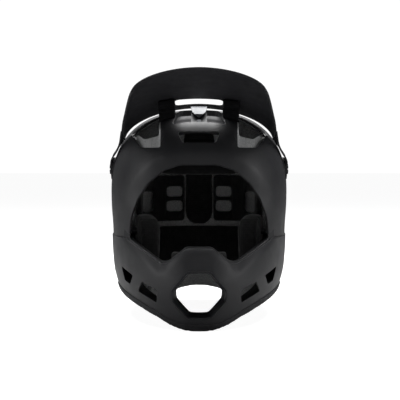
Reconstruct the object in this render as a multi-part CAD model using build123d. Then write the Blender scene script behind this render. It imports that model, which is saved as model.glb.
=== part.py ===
from build123d import *
from math import cos, radians, sin
from functools import cache
import os

# Downhill bike helmet with a full face chin bar and a tilting peak.
# Millimetres, Z up. The wearer looks along -Y, so the wearer's left is +X.

# Main sizes of the outer shell
shell_half_width = 119.4
crown_height = 273.5
middle_y = 5.0
brow_reach = 135.0
nape_reach = 130.0
chin_reach = 178.0
skirt_depth = 12.0
ring_points = 28
dome_steps = 6
dome_last_angle = 83.0
full_turn = 360.0
ring_phase = 0.5
small_round_sides = 12
dome_width_power = 2.5
dome_length_power = 2.35
rear_power = 2.2

# Rows of the shell below its widest level: height, half width, front reach
# and rear reach as shares, and how full the front half is
equator_share = 0.585
lower_row_shares = [
    (0.037, 0.818, 0.944, 0.877),
    (0.128, 0.902, 0.989, 0.908),
    (0.219, 0.961, 1.000, 0.938),
    (0.329, 0.980, 0.966, 0.969),
    (0.439, 0.982, 0.888, 0.992),
    (0.519, 1.000, 0.815, 1.000),
]
skirt_row_shares = (0.742, 0.882, 0.846)
lower_front_power = 1.85
middle_front_power = 2.0
upper_front_power = 2.15

# Layers from the outside inwards
shell_wall = 2.6
chin_step = 1.2
seam = 0.2
liner_depth = 29.0
pad_gap = 0.3
liner_split_x = 60.0
liner_split_y = 30.0
pad_thickness = 8.0
overrun = 5.0
far = 400.0

# Edge of the eye port as shares of its half width and of its height
port_half_width = 93.0
port_low = 79.0
port_height = 122.5
port_shares = [
    (0.26, 0.99),
    (0.50, 0.93),
    (0.715, 0.796),
    (0.866, 0.633),
    (0.963, 0.446),
    (1.0, 0.233),
    (1.0, 0.20),
    (0.495, 0.0),
    (0.409, 0.012),
    (0.167, 0.163),
]
trim_lip = 1.6
trim_cover = 7.0
trim_thickness = 1.3

# Lower rim in the side view, as shares of the shell's length and height
rim_length = 308.0
rim_height = 35.0
rim_shares = [
    (0.0, 0.0),
    (0.052, 0.0),
    (0.079, 0.16),
    (0.114, 0.40),
    (0.19, 0.62),
    (0.28, 0.77),
    (0.40, 0.92),
    (0.47, 1.0),
    (0.56, 0.86),
    (0.66, 0.40),
    (0.76, 0.0),
    (0.90, 0.0),
    (1.0, 0.10),
]
nape_arch_half = 62.0
nape_arch_height = 22.0
nape_arch_shares = [(1.0, 0.0), (0.78, 0.45), (0.45, 0.86), (0.15, 1.0)]
base_trim_height = 8.0

# Split between the chin bar and the side shell
split_height = 106.0
split_y = 2.0

# Chin vent: six-sided, bevelled from the outer edge to the inner edge
vent_half_width = 34.0
vent_height = 57.0
vent_low = 14.5
vent_shares = [(0.41, 0.0), (1.0, 0.39), (1.0, 0.62), (0.41, 1.0)]
vent_inner_half = 26.5
vent_inner_height = 43.0
vent_inner_low = 20.0
vent_frame_wall = 2.4
vent_depth = 44.0

# Side vents of the chin bar, seen from the front
side_vent_width = 100.0
side_vent_height = 69.0
side_vent_shares = [(0.995, 1.0), (0.83, 0.885), (0.87, 0.70), (0.945, 0.74)]
side_vent_back_y = -18.0
slot_vent_shares = [(0.706, 0.80), (0.51, 0.69), (0.516, 0.455), (0.757, 0.61)]

# Brow vents, seen from the front
brow_vent_width = 84.0
brow_vent_low = 232.0
brow_vent_height = 29.0
brow_vent_shares = [(1.0, 0.31), (0.61, 1.0), (0.61, 0.14), (0.84, 0.0)]

# Brow slot in the middle of the forehead
brow_slot_half = 27.0
brow_slot_low = 227.0
brow_slot_height = 14.0
brow_slot_shares = [(0.78, 0.0), (1.0, 1.0)]

# Centre scoop in the crown
scoop_half_width = 34.0
scoop_front = -84.0
scoop_back = -16.0
scoop_depth = 7.5
scoop_taper_share = 0.72

# Rear exhaust openings
exhaust_near = 20.0
exhaust_far = 52.0
exhaust_low = 190.0
exhaust_high = 208.0
exhaust_slope_share = 0.4

# Peak
pivot_y = -12.0
pivot_z = 193.5
peak_wall = 2.4
peak_power = 1.88
peak_across = 14
peak_front_y = -187.0
peak_back_y = -37.0
peak_half = 102.0
peak_side_z = 285.0
peak_front_top_z = 313.0
peak_nose_depth = 15.0
peak_nose_along_power = 3
peak_nose_across_power = 2
# station of the peak from back to front: how far along, half width,
# height of the side edge below its front, height of the middle below its front
peak_drop = 60.0
peak_station_shares = [
    (0.0, 0.98, 0.883, 0.612),
    (0.087, 1.0, 0.783, 0.558),
    (0.167, 0.985, 0.633, 0.513),
    (0.39, 0.92, 0.317, 0.373),
    (0.62, 0.865, 0.13, 0.23),
    (0.82, 0.822, 0.03, 0.108),
    (1.0, 0.785, 0.0, 0.0),
]
slot_half_width = 31.0
slot_front_y = -78.0
slot_back_y = -49.0
slot_corner = 6.0
cross_bar_back_y = -37.0
ear_radius = 14.0
ear_inner_x = 116.3
ear_thickness = 2.0
ear_seat_radius = 15.5
ear_boss_radius = 13.0
ear_seat_x = 115.8
ear_seat_depth = 5.0
# sections of the ear from the pivot up to the peak's side: inner x, back y
# and z, then inner x, front y and z
ear_sections = [
    (116.3, 2.0, 193.5, 116.3, -26.0, 193.5),
    (116.3, -3.5, 209.4, 116.3, -26.5, 205.5),
    (110.6, -18.0, 218.0, 105.4, -42.0, 222.0),
    (98.0, -37.2, 233.0, 99.9, -57.0, 244.0),
]

# Hand screws at the peak's pivots
knob_radius = 6.9
knob_height = 2.2
knob_slot_width = 1.4
knob_slot_depth = 1.0
stud_radius = 2.9
stud_end_x = 106.0
stud_end_gap = 0.4
pivot_clearance = 0.06
washer_radius = 7.5
washer_gap = 0.05
washer_bore_radius = 3.2
nut_radius = 6.5
nut_sides = 6
nut_thickness = 3.4
nut_pocket_radius = 7.2

# Rests between the peak and the crown, on each side of the scoop
bumper_near = 31.0
bumper_far = 52.0
bumper_front_y = -68.0
bumper_back_y = -45.0
bumper_gap = 0.8

# Clip under the cross-bar and the index block it points at, as bands
# at a radius from the peak's pivot and an angle forward of the vertical
clip_low_radius = 84.6
clip_high_radius = 90.5
clip_back_angle = 13.0
clip_front_angle = 38.0
clip_half_width = 12.5
clip_top_z = 282.0
clip_shoulder_z = 268.0
clip_tip_z = 259.5
clip_shoulder_half = 9.0
arc_steps = 6
block_low_radius = 70.0
block_high_radius = 83.8
block_back_angle = 27.0
block_front_angle = 47.0
block_half_width = 10.4
block_screw_angle = 42.5
block_screw_radius = 1.6
block_screw_head = 2.9
block_screw_head_height = 1.4
block_screw_depth = 5.0

# Pads on the inside of the crown liner
spine_half = 20.0
spine_low = 111.0
spine_front = -62.0
spine_end_shares = [(1.0, 1.0), (0.94, 0.6), (0.72, 0.26), (0.38, 0.06)]
side_pad_near = 21.0
side_pad_far = 86.0
side_pad_low = 117.0
side_pad_high = 184.0
side_pad_front = 14.0
window_near = 24.5
window_far = 47.0
window_low = 131.0
window_bar_low = 146.5
window_bar_high = 152.5
window_high = 167.5
outer_window_near = 67.0
outer_window_far = 80.0
outer_window_high = 161.0
nape_pad_half = 62.0
nape_pad_low = 56.0
nape_pad_high = 105.0
brow_pad_half = 48.0
brow_pad_low = 187.0
brow_pad_high = 226.0
chin_pad_half = 34.0
chin_pad_low = 76.0
chin_pad_high = 92.0
chin_pad_thickness = 5.0

# Cheek cushions on the inside of the side liner
cheek_front = -68.0
cheek_back = 1.0
cheek_low = 46.0
cheek_high = 134.0
cheek_thickness = 25.0
cheek_points = 16
cheek_power = 3.2
cheek_root_share = -0.16
cheek_ring_shares = [
    (0.955, -0.16),
    (0.965, 0.16),
    (1.0, 0.42),
    (0.985, 0.66),
    (0.90, 0.84),
    (0.70, 0.95),
    (0.38, 1.0),
]
snap_radius = 4.0
snap_depth = 6.0
snap_reach = 7.0
snap_shares = [(0.5, 0.28), (0.5, 0.74)]

# Chin straps, hanging unfastened inside the helmet
strap_front = 4.0
strap_back = 26.0
strap_thickness = 1.5
strap_samples = 26
ring_strap_points = [
    (84.8, 104.0),
    (84.8, 92.0),
    (82.5, 78.0),
    (77.0, 66.0),
    (74.2, 58.0),
    (73.6, 50.5),
    (68.9, 44.4),
    (64.2, 50.5),
    (65.8, 57.0),
    (70.4, 62.6),
    (75.1, 67.2),
    (78.4, 73.4),
]
tail_strap_points = [
    (84.8, 104.0),
    (84.8, 92.0),
    (81.0, 76.0),
    (75.0, 60.0),
    (70.4, 47.0),
    (68.2, 41.0),
    (64.9, 37.6),
    (62.0, 41.6),
    (66.4, 48.0),
    (72.4, 61.0),
    (78.4, 77.0),
]
rivet_height = 97.0
rivet_radius = 2.2
rivet_head_radius = 5.5
rivet_head_height = 1.4
rivet_depth = 14.0
ring_bar_z = 50.4
ring_inner_x = 67.4
ring_outer_x = 70.4
ring_plate = 2.0
ring_width = 30.0
ring_length = 25.0
ring_bar = 3.0
ring_rod_radius = 1.3
ring_corner = 9.0
tail_snap_x = 69.9
tail_snap_z = 54.0
tail_snap_lean = 20.0
tail_snap_gap = 1.3
tail_snap_radius = 4.5
tail_snap_thickness = 1.3


def flat_face(points):
    """A flat face through the given corner points."""
    return Face(Wire(Polyline(*points, close=True)))


def powered(value, power):
    """Superellipse coordinate of a sine or cosine."""
    size = abs(value) ** (2 / power)
    return size if value > 0 else -size


def ring(height, half_width, front, rear, front_power):
    """One level ring of the helmet's form."""
    points = []
    for index in range(ring_points):
        angle = radians(full_turn * (index + ring_phase) / ring_points)
        power = rear_power if sin(angle) > 0 else front_power
        reach = rear if sin(angle) > 0 else front
        x = half_width * powered(cos(angle), power)
        y = middle_y + reach * powered(sin(angle), power)
        points.append((x, y, height))
    return points


@cache
def form_rings(inset):
    """Rings of the helmet's form, moved inwards by the given depth."""
    half_width = shell_half_width
    width_share, front_share, rear_share = skirt_row_shares
    rings = [
        ring(
            -skirt_depth,
            half_width * width_share - inset,
            chin_reach * front_share - inset,
            nape_reach * rear_share - inset,
            lower_front_power,
        )
    ]
    last_row = len(lower_row_shares) - 1
    for row, shares in enumerate(lower_row_shares):
        height_share, width_share, front_share, rear_share = shares
        power = lower_front_power if row < last_row - 1 else middle_front_power
        rings.append(
            ring(
                crown_height * height_share,
                half_width * width_share - inset,
                chin_reach * front_share - inset,
                nape_reach * rear_share - inset,
                power,
            )
        )
    equator = crown_height * equator_share
    rise = crown_height - equator - inset
    for step in range(dome_steps + 1):
        angle = radians(dome_last_angle * step / dome_steps)
        up = sin(angle) ** (2 / dome_width_power) if step else 0
        across = cos(angle) ** (2 / dome_width_power)
        along = cos(angle) ** (2 / dome_length_power)
        rings.append(
            ring(
                equator + rise * up,
                (half_width - inset) * across,
                (brow_reach - inset) * along,
                (nape_reach - inset) * along,
                upper_front_power,
            )
        )
    return rings


def skin_faces(rings):
    """Flat facets between neighbouring rings, and the flat top."""
    faces = []
    for low, high in zip(rings[:-1], rings[1:]):
        for here in range(len(low)):
            there = (here + 1) % len(low)
            faces.append(flat_face([low[here], low[there], high[there]]))
            faces.append(flat_face([low[here], high[there], high[here]]))
    faces.append(flat_face(rings[-1]))
    return faces


@cache
def form_body(inset):
    """The helmet's whole form as one solid, moved inwards by a depth."""
    rings = form_rings(inset)
    return Solid(Shell(skin_faces(rings) + [flat_face(rings[0])]))


@cache
def form_wall(outer_inset, inner_inset):
    """A wall between two depths of the helmet's form, open at the neck."""
    outer = form_rings(outer_inset)
    inner = form_rings(inner_inset)
    faces = skin_faces(outer) + skin_faces(inner)
    rim = Face(
        Wire(Polyline(*outer[0], close=True)),
        [Wire(Polyline(*inner[0], close=True))],
    )
    return Solid(Shell(faces + [rim]))


def prism_y(points, start, end):
    """A prism along Y from points in the XZ plane."""
    face = flat_face([(x, start, z) for x, z in points])
    return extrude(face, amount=end - start, dir=(0, 1, 0))


def prism_x(points, start, end):
    """A prism along X from points in the YZ plane."""
    face = flat_face([(start, y, z) for y, z in points])
    return extrude(face, amount=end - start, dir=(1, 0, 0))


def prism_z(points, start, end):
    """A prism along Z from points in the XY plane."""
    face = flat_face([(x, y, start) for x, y in points])
    return extrude(face, amount=end - start, dir=(0, 0, 1))


def block(x_range, y_range, z_range):
    """A box between three pairs of limits."""
    x0, x1 = x_range
    y0, y1 = y_range
    return prism_z([(x0, y0), (x1, y0), (x1, y1), (x0, y1)], *z_range)


def rod_x(y, z, start, end, radius):
    """A round rod along X."""
    plane = Plane(origin=(start, y, z), x_dir=(0, 1, 0), z_dir=(1, 0, 0))
    return extrude(plane * Circle(radius), amount=end - start)


def rod_y(x, z, start, end, radius):
    """A round rod along Y."""
    plane = Plane(origin=(x, start, z), x_dir=(1, 0, 0), z_dir=(0, 1, 0))
    return extrude(plane * Circle(radius), amount=end - start)


def stud_x(y, z, start, end, radius):
    """A small many-sided stud along X."""
    plane = Plane(origin=(start, y, z), x_dir=(0, 1, 0), z_dir=(1, 0, 0))
    return extrude(plane * RegularPolygon(radius, small_round_sides), amount=end - start)


def mirrored(points):
    """Both halves of an outline given for the right side, top to bottom."""
    return points + [(-x, z) for x, z in reversed(points)]


def one_solid(shape):
    """The largest solid of a cut."""
    return max(shape.solids(), key=lambda solid: solid.volume)


def port_points():
    """The edge of the eye port in the front view."""
    right = [
        (port_half_width * x, port_low + port_height * z) for x, z in port_shares
    ]
    return mirrored(right)


@cache
def port_cutter(margin):
    """A prism through the eye port, its edge moved outwards by a margin."""
    outline = flat_face([(x, -far, z) for x, z in port_points()])
    if margin:
        wire = outline.outer_wire().offset_2d(margin, kind=Kind.INTERSECTION)
        outline = Face(wire)
    return extrude(outline, amount=far - overrun, dir=(0, 1, 0))


def rim_points(lift):
    """The lower rim in the side view, lifted by a height."""
    start = middle_y - chin_reach
    return [
        (start + rim_length * along, rim_height * up + lift)
        for along, up in rim_shares
    ]


@cache
def rim_cutter(lift):
    """Everything below the lower rim."""
    line = rim_points(lift)
    first_y, first_z = line[0]
    last_y, last_z = line[-1]
    outline = (
        [(first_y - far, first_z)]
        + line
        + [(last_y + far, last_z), (last_y + far, -far), (first_y - far, -far)]
    )
    below = prism_x(outline, -far, far)
    arch = [
        (nape_arch_half * x, nape_arch_height * z + lift) for x, z in nape_arch_shares
    ]
    first_x = arch[0][0]
    arch = mirrored([(first_x, -far)] + arch)
    return below + prism_y(arch, middle_y, far)


def chin_side(margin):
    """The space of the chin bar, in front of and below the split."""
    return block((-far, far), (-far, split_y + margin), (-far, split_height + margin))


def chin_vent_points(half, height, low):
    """A six-sided vent outline in the front view."""
    return mirrored([(half * x, low + height * (1 - z)) for x, z in vent_shares])


def vent_loft(half_front, height_front, low_front, half_back, height_back, low_back, depth):
    """A six-sided funnel between a front and a back outline."""
    front_y = middle_y - chin_reach - overrun
    back_y = front_y + overrun + depth
    front = [
        (x, front_y, z)
        for x, z in chin_vent_points(half_front, height_front, low_front)
    ]
    back = [
        (x, back_y, z) for x, z in chin_vent_points(half_back, height_back, low_back)
    ]
    faces = [flat_face(front), flat_face(back)]
    for here in range(len(front)):
        there = (here + 1) % len(front)
        faces += quad_faces(front[here], front[there], back[there], back[here])
    return Solid(Shell(faces))


def both_sides(shape):
    """A shape and its mirror image across the middle plane."""
    return shape + mirror(shape, about=Plane.YZ)


@cache
def side_vents():
    """Cutters of the four small chin bar vents."""
    cutters = []
    for shares in (side_vent_shares, slot_vent_shares):
        points = [(side_vent_width * x, side_vent_height * z) for x, z in shares]
        cutters.append(prism_y(points, -far, side_vent_back_y))
    return both_sides(cutters[0] + cutters[1])


@cache
def brow_vents():
    """Cutters of the two brow vents."""
    points = [
        (brow_vent_width * x, brow_vent_low + brow_vent_height * z)
        for x, z in brow_vent_shares
    ]
    return both_sides(prism_y(points, -far, middle_y - overrun))


@cache
def brow_slot():
    """Cutter of the slot in the middle of the brow."""
    points = [
        (brow_slot_half * x, brow_slot_low + brow_slot_height * z)
        for x, z in brow_slot_shares
    ]
    return prism_y(mirrored(points), -far, middle_y - overrun)


@cache
def exhausts():
    """Cutters of the rear exhaust openings."""
    rise = (exhaust_high - exhaust_low) * exhaust_slope_share
    points = [
        (exhaust_near, exhaust_low),
        (exhaust_far, exhaust_low + rise),
        (exhaust_far, exhaust_high),
        (exhaust_near, exhaust_high),
    ]
    return both_sides(prism_y(points, middle_y + overrun, far))


@cache
def scoop_outline(grow):
    """The centre scoop seen from above, grown by a margin."""
    back = scoop_half_width * scoop_taper_share
    return prism_z(
        [
            (-back - grow, scoop_back + grow),
            (back + grow, scoop_back + grow),
            (scoop_half_width + grow, scoop_front - grow),
            (-scoop_half_width - grow, scoop_front - grow),
        ],
        crown_height * equator_share,
        far,
    )


def form_row(z, inset):
    """Half width, front reach, rear reach and front power at one height."""
    rings = form_rings(inset)
    for low, high in zip(rings[:-1], rings[1:]):
        if z <= high[0][2]:
            share = (z - low[0][2]) / (high[0][2] - low[0][2])
            low_half = max(x for x, _, _ in low)
            high_half = max(x for x, _, _ in high)
            low_front = middle_y - min(y for _, y, _ in low)
            high_front = middle_y - min(y for _, y, _ in high)
            low_rear = max(y for _, y, _ in low) - middle_y
            high_rear = max(y for _, y, _ in high) - middle_y
            return (
                low_half + share * (high_half - low_half),
                low_front + share * (high_front - low_front),
                low_rear + share * (high_rear - low_rear),
            )
    return None


def side_x(y, z, inset):
    """How far out the form's side lies at a point of the side view."""
    half, front, rear = form_row(z, inset)
    power = rear_power if y > middle_y else lower_front_power
    reach = rear if y > middle_y else front
    share = min(abs(y - middle_y) / reach, 1)
    return half * (1 - share**power) ** (1 / power)


def crown_shell_node():
    """Outer shell of crown, sides and nape."""
    shell = form_wall(0, shell_wall) - rim_cutter(0) - port_cutter(0)
    shell = shell - chin_side(0)
    shell = shell - brow_vents() - brow_slot() - exhausts()
    deep = scoop_depth + shell_wall
    hollow = scoop_outline(0)
    recess = form_wall(0, deep) & (scoop_outline(shell_wall) - hollow)
    floor = form_wall(scoop_depth, deep) & scoop_outline(shell_wall)
    shell = shell - hollow + recess + floor
    for side in (1, -1):
        seat = ear_seat_x
        thick = rod_x(
            pivot_y,
            pivot_z,
            side * (seat - ear_seat_depth),
            side * seat,
            ear_boss_radius,
        )
        space = rod_x(pivot_y, pivot_z, side * seat, side * far, ear_seat_radius)
        bore = rod_x(
            pivot_y, pivot_z, side * middle_y, side * far, stud_radius + pivot_clearance
        )
        shell = shell + thick - space - bore
    return one_solid(shell - block_screw(pivot_clearance))


def chin_bar_shell_node():
    """Outer shell of the chin bar, standing proud of the side shell."""
    shell = form_wall(-chin_step, shell_wall) & chin_side(-seam)
    shell = shell - rim_cutter(0) - port_cutter(0)
    return one_solid(shell - vent_funnel(vent_frame_wall + seam) - side_vents())


def crown_liner_nodes():
    """Foam liner of the crown as four moulded sections with seams between."""
    liner = crown_liner_body()
    near = liner_split_x
    middle = (-near + seam, near - seam)
    everywhere = (-far, far)
    spaces = {
        "crown_liner_front": block(middle, (-far, liner_split_y - seam), everywhere),
        "crown_liner_rear": block(middle, (liner_split_y, far), everywhere),
        "crown_liner_left": block((near, far), everywhere, everywhere),
        "crown_liner_right": block((-far, -near), everywhere, everywhere),
    }
    return {name: one_solid(liner & space) for name, space in spaces.items()}


def crown_liner_body():
    """Foam liner of the crown, sides and nape, in one."""
    outer = shell_wall + seam
    liner = form_wall(outer, liner_depth) - rim_cutter(0) - port_cutter(0)
    liner = liner - chin_side(0)
    liner = liner - brow_vents() - brow_slot() - exhausts()
    deep = scoop_depth + shell_wall + seam
    liner = liner - (form_wall(0, deep) & scoop_outline(shell_wall + seam))
    for side in (1, -1):
        boss = rod_x(
            pivot_y,
            pivot_z,
            side * (ear_seat_x - ear_seat_depth - seam),
            side * far,
            ear_seat_radius + seam,
        )
        pocket = rod_x(
            pivot_y, pivot_z, side * (stud_end_x - stud_end_gap), side * far, nut_pocket_radius
        )
        liner = liner - boss - pocket
    for rod in cheek_snaps(1, seam) + cheek_snaps(-1, seam):
        liner = liner - rod
    liner = liner - block_screw(seam)
    return one_solid(liner - rivet_bores())


def chin_liner_node():
    """Foam liner of the chin bar."""
    liner = form_wall(shell_wall + seam, liner_depth) & chin_side(-seam)
    liner = liner - rim_cutter(0) - port_cutter(0)
    for rod in cheek_snaps(1, seam) + cheek_snaps(-1, seam):
        liner = liner - rod
    return one_solid(liner - vent_funnel(vent_frame_wall + seam) - side_vents())


@cache
def vent_funnel(margin):
    """The chin vent as a six-sided funnel, grown by a margin."""
    return vent_loft(
        vent_half_width + margin,
        vent_height + margin + margin,
        vent_low - margin,
        vent_inner_half + margin,
        vent_inner_height + margin + margin,
        vent_inner_low - margin,
        vent_depth,
    )


def chin_vent_frame_node():
    """Bevelled surround of the chin vent."""
    frame = vent_funnel(vent_frame_wall) - vent_funnel(0)
    return one_solid(frame & form_wall(-chin_step, liner_depth))


def port_trim_node(shells):
    """Rolled edging round the eye port."""
    band = port_cutter(trim_cover) - port_cutter(-trim_lip)
    layer = form_wall(-chin_step - trim_thickness, shell_wall + seam)
    trim = layer & band
    for shell in shells:
        trim = trim - shell
    return one_solid(trim)


def base_trim_node(shells):
    """Edging round the lower rim."""
    layer = form_wall(-chin_step - trim_thickness, shell_wall + seam)
    trim = (layer & rim_cutter(base_trim_height)) - rim_cutter(-trim_lip)
    for shell in shells:
        trim = trim - shell
    return one_solid(trim)


@cache
def pad_layer(thickness):
    """The layer of pads on the inside of the liner."""
    inset = liner_depth + pad_gap
    return form_wall(inset, inset + thickness)


def crown_pad_node():
    """Spine pad over the crown with a rounded end at the back."""
    points = [(spine_half, crown_height)]
    points += [
        (spine_half * x, spine_low + spine_half * z) for x, z in spine_end_shares
    ]
    strip = prism_y(mirrored(points), spine_front, far)
    return one_solid(pad_layer(pad_thickness) & strip)


def side_pad_node(side):
    """Pad beside the spine, with its windows."""
    frame = prism_y(
        [
            (side * side_pad_near, side_pad_low),
            (side * side_pad_far, side_pad_low),
            (side * side_pad_far, side_pad_high),
            (side * side_pad_near, side_pad_high),
        ],
        side_pad_front,
        far,
    )
    windows = [
        (window_near, window_far, window_low, window_bar_low),
        (window_near, window_far, window_bar_high, window_high),
        (outer_window_near, outer_window_far, window_low, outer_window_high),
    ]
    for near, away, low, high in windows:
        frame = frame - prism_y(
            [
                (side * near, low),
                (side * away, low),
                (side * away, high),
                (side * near, high),
            ],
            side_pad_front - overrun,
            far + overrun,
        )
    return one_solid(pad_layer(pad_thickness) & frame)


def nape_pad_node():
    """Pad band at the back of the neck."""
    points = [(nape_pad_half, nape_pad_high), (nape_pad_half, nape_pad_low)]
    return one_solid(pad_layer(pad_thickness) & prism_y(mirrored(points), middle_y, far))


def brow_pad_node():
    """Pad across the forehead."""
    points = [(brow_pad_half, brow_pad_high), (brow_pad_half, brow_pad_low)]
    return one_solid(
        pad_layer(pad_thickness) & prism_y(mirrored(points), -far, spine_front - seam)
    )


def chin_pad_node():
    """Soft strip on the inside of the chin bar."""
    points = [(chin_pad_half, chin_pad_high), (chin_pad_half, chin_pad_low)]
    strip = prism_y(mirrored(points), -far, middle_y - overrun)
    return one_solid(pad_layer(chin_pad_thickness) & strip)


def cheek_outline():
    """The cheek cushion in the side view."""
    middle = (cheek_front + cheek_back) / 2
    height = (cheek_low + cheek_high) / 2
    points = []
    for index in range(cheek_points):
        angle = radians(full_turn * (index + ring_phase) / cheek_points)
        y = (cheek_back - cheek_front) / 2 * powered(cos(angle), cheek_power)
        z = (cheek_high - cheek_low) / 2 * powered(sin(angle), cheek_power)
        points.append((y, z))
    return middle, height, points


def cheek_pad_node(side):
    """Crowned cushion with drawn-in sides on the side liner."""
    middle, height, outline = cheek_outline()
    rings = []
    for size, depth in cheek_ring_shares:
        inset = liner_depth + pad_gap + depth * cheek_thickness
        points = []
        for y, z in outline:
            y = middle + y * size
            z = height + z * size
            points.append((side * side_x(y, z, inset), y, z))
        rings.append(points)
    faces = []
    for low, high in zip(rings[:-1], rings[1:]):
        for here in range(len(low)):
            there = (here + 1) % len(low)
            faces.append(flat_face([low[here], low[there], high[there]]))
            faces.append(flat_face([low[here], high[there], high[here]]))
    for end, depth in ((rings[0], cheek_root_share), (rings[-1], 1)):
        inset = liner_depth + pad_gap + depth * cheek_thickness
        tip = (side * side_x(middle, height, inset), middle, height)
        for here in range(len(end)):
            there = (here + 1) % len(end)
            faces.append(flat_face([end[here], end[there], tip]))
    pad = Solid(Shell(faces))
    pad = pad - form_wall(shell_wall, liner_depth + pad_gap)
    pad = one_solid(pad)
    for rod in cheek_snaps(side, seam):
        pad = pad - rod
    return one_solid(pad)


def cheek_snaps(side, grow):
    """Snap studs between a cheek cushion and the liner."""
    rods = []
    for along, up in snap_shares:
        y = cheek_front + (cheek_back - cheek_front) * along
        z = cheek_low + (cheek_high - cheek_low) * up
        surface = side_x(y, z, liner_depth)
        rods.append(
            stud_x(
                y,
                z,
                side * (surface - snap_reach - grow),
                side * (surface + snap_depth + grow),
                snap_radius + grow,
            )
        )
    return rods


def strap_node(points, side):
    """Webbing that follows a line in the front view."""
    line = Spline([(x, z) for x, z in points])
    outer, inner = [], []
    for sample in range(strap_samples + 1):
        share = sample / strap_samples
        here = line.position_at(share)
        along = line.tangent_at(share)
        half = strap_thickness / 2
        outer.append((side * (here.X + along.Y * half), here.Y - along.X * half))
        inner.append((side * (here.X - along.Y * half), here.Y + along.X * half))
    strap = prism_y(outer + inner[::-1], strap_front, strap_back)
    near = side * (points[0][0] - strap_thickness)
    away = side * (points[0][0] + strap_thickness)
    return strap - stud_x(rivet_y(), rivet_height, near, away, rivet_radius + seam)


def rivet_y():
    """Middle of the straps along Y."""
    return (strap_front + strap_back) / 2


def rivet_bores():
    """Holes of the strap rivets in the liner."""
    start = ring_strap_points[0][0]
    rods = [
        stud_x(
            rivet_y(),
            rivet_height,
            side * start,
            side * (start + rivet_depth + seam),
            rivet_radius + seam,
        )
        for side in (1, -1)
    ]
    return rods[0] + rods[1]


def strap_rivets_node():
    """Rivets that hold both straps to the liner."""
    start = ring_strap_points[0][0] - strap_thickness / 2 - seam
    rivets = []
    for side in (1, -1):
        shank = stud_x(
            rivet_y(),
            rivet_height,
            side * start,
            side * (start + rivet_depth),
            rivet_radius,
        )
        head = stud_x(
            rivet_y(),
            rivet_height,
            side * (start - rivet_head_height),
            side * start,
            rivet_head_radius,
        )
        rivets.append(shank + head)
    return rivets


def d_ring_node(distance):
    """Buckle ring that hangs from the right strap's loop."""
    half = ring_width / 2
    top = ring_bar_z
    low = top - ring_length
    y = rivet_y()
    outer = [(y - half, top), (y + half, top), (y + half, low), (y - half, low)]
    plane_x = -distance - ring_plate / 2
    face = flat_face([(plane_x, a, b) for a, b in outer])
    lower = [v for v in face.vertices() if v.Z < ring_bar_z - half]
    face = face.fillet_2d(ring_corner, lower)
    inner = [
        (y - half + ring_bar, top + ring_bar),
        (y + half - ring_bar, top + ring_bar),
        (y + half - ring_bar, low + ring_bar),
        (y - half + ring_bar, low + ring_bar),
    ]
    hole = flat_face([(plane_x, a, b) for a, b in inner])
    lower = [v for v in hole.vertices() if v.Z < ring_bar_z - half]
    hole = hole.fillet_2d(ring_corner - ring_bar, lower)
    ring_body = extrude(face, amount=ring_plate, dir=(1, 0, 0))
    ring_body = ring_body - extrude(hole, amount=ring_plate, dir=(1, 0, 0))
    rod = rod_y(-distance, ring_bar_z, y - half, y + half, ring_rod_radius)
    return ring_body + rod


def strap_snap_node():
    """Keeper stud that holds the folded tail of the left strap."""
    lean = radians(tail_snap_lean)
    direction = (-cos(lean), 0, sin(lean))
    origin = (
        tail_snap_x - tail_snap_gap * cos(lean),
        rivet_y(),
        tail_snap_z + tail_snap_gap * sin(lean),
    )
    plane = Plane(origin=origin, x_dir=(0, 1, 0), z_dir=direction)
    face = plane * RegularPolygon(tail_snap_radius, small_round_sides)
    return extrude(face, amount=tail_snap_thickness)


def peak_point(station, across, inset):
    """One point of the peak's surface."""
    share, half_share, side_share, top_share = peak_station_shares[station]
    y = peak_back_y + (peak_front_y - peak_back_y) * share
    half = peak_half * half_share - inset
    low = peak_side_z - peak_drop * side_share
    top = peak_front_top_z - peak_drop * top_share - inset
    angle = radians(full_turn / 2 * across / peak_across)
    side = cos(angle) if across * 2 != peak_across else 0
    rise = sin(angle) if 0 < across < peak_across else 0
    x = half * powered(side, peak_power) if side else 0
    z = low + (top - low) * (powered(rise, peak_power) if rise else 0)
    sweep = share**peak_nose_along_power * side**peak_nose_across_power
    return (x, y + peak_nose_depth * sweep, z)


def quad_faces(a, b, c, d):
    """Two flat triangles over four corners."""
    return [flat_face([a, b, c]), flat_face([a, c, d])]


def peak_plate():
    """The peak as an arched plate that narrows and rises to the front."""
    last = len(peak_station_shares) - 1
    grids = []
    for inset in (0, peak_wall):
        grids.append(
            [
                [peak_point(station, across, inset) for across in range(peak_across + 1)]
                for station in range(last + 1)
            ]
        )
    faces = []
    for grid in grids:
        for station in range(last):
            for across in range(peak_across):
                faces += quad_faces(
                    grid[station][across],
                    grid[station][across + 1],
                    grid[station + 1][across + 1],
                    grid[station + 1][across],
                )
    top, under = grids
    for across in range(peak_across):
        for station in (0, last):
            faces += quad_faces(
                top[station][across],
                top[station][across + 1],
                under[station][across + 1],
                under[station][across],
            )
    for station in range(last):
        for across in (0, peak_across):
            faces += quad_faces(
                top[station][across],
                top[station + 1][across],
                under[station + 1][across],
                under[station][across],
            )
    return Solid(Shell(faces))


def ear_piece(side, low, high):
    """A piece of an ear between two of its sections."""
    corners = []
    for back_x, back_y, back_z, front_x, front_y, front_z in (low, high):
        corners.append(
            [
                (side * back_x, back_y, back_z),
                (side * (back_x + ear_thickness), back_y, back_z),
                (side * (front_x + ear_thickness), front_y, front_z),
                (side * front_x, front_y, front_z),
            ]
        )
    lower, upper = corners
    faces = quad_faces(*lower) + quad_faces(*upper)
    for here in range(len(lower)):
        there = (here + 1) % len(lower)
        faces += quad_faces(lower[here], lower[there], upper[there], upper[here])
    return Solid(Shell(faces))


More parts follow.
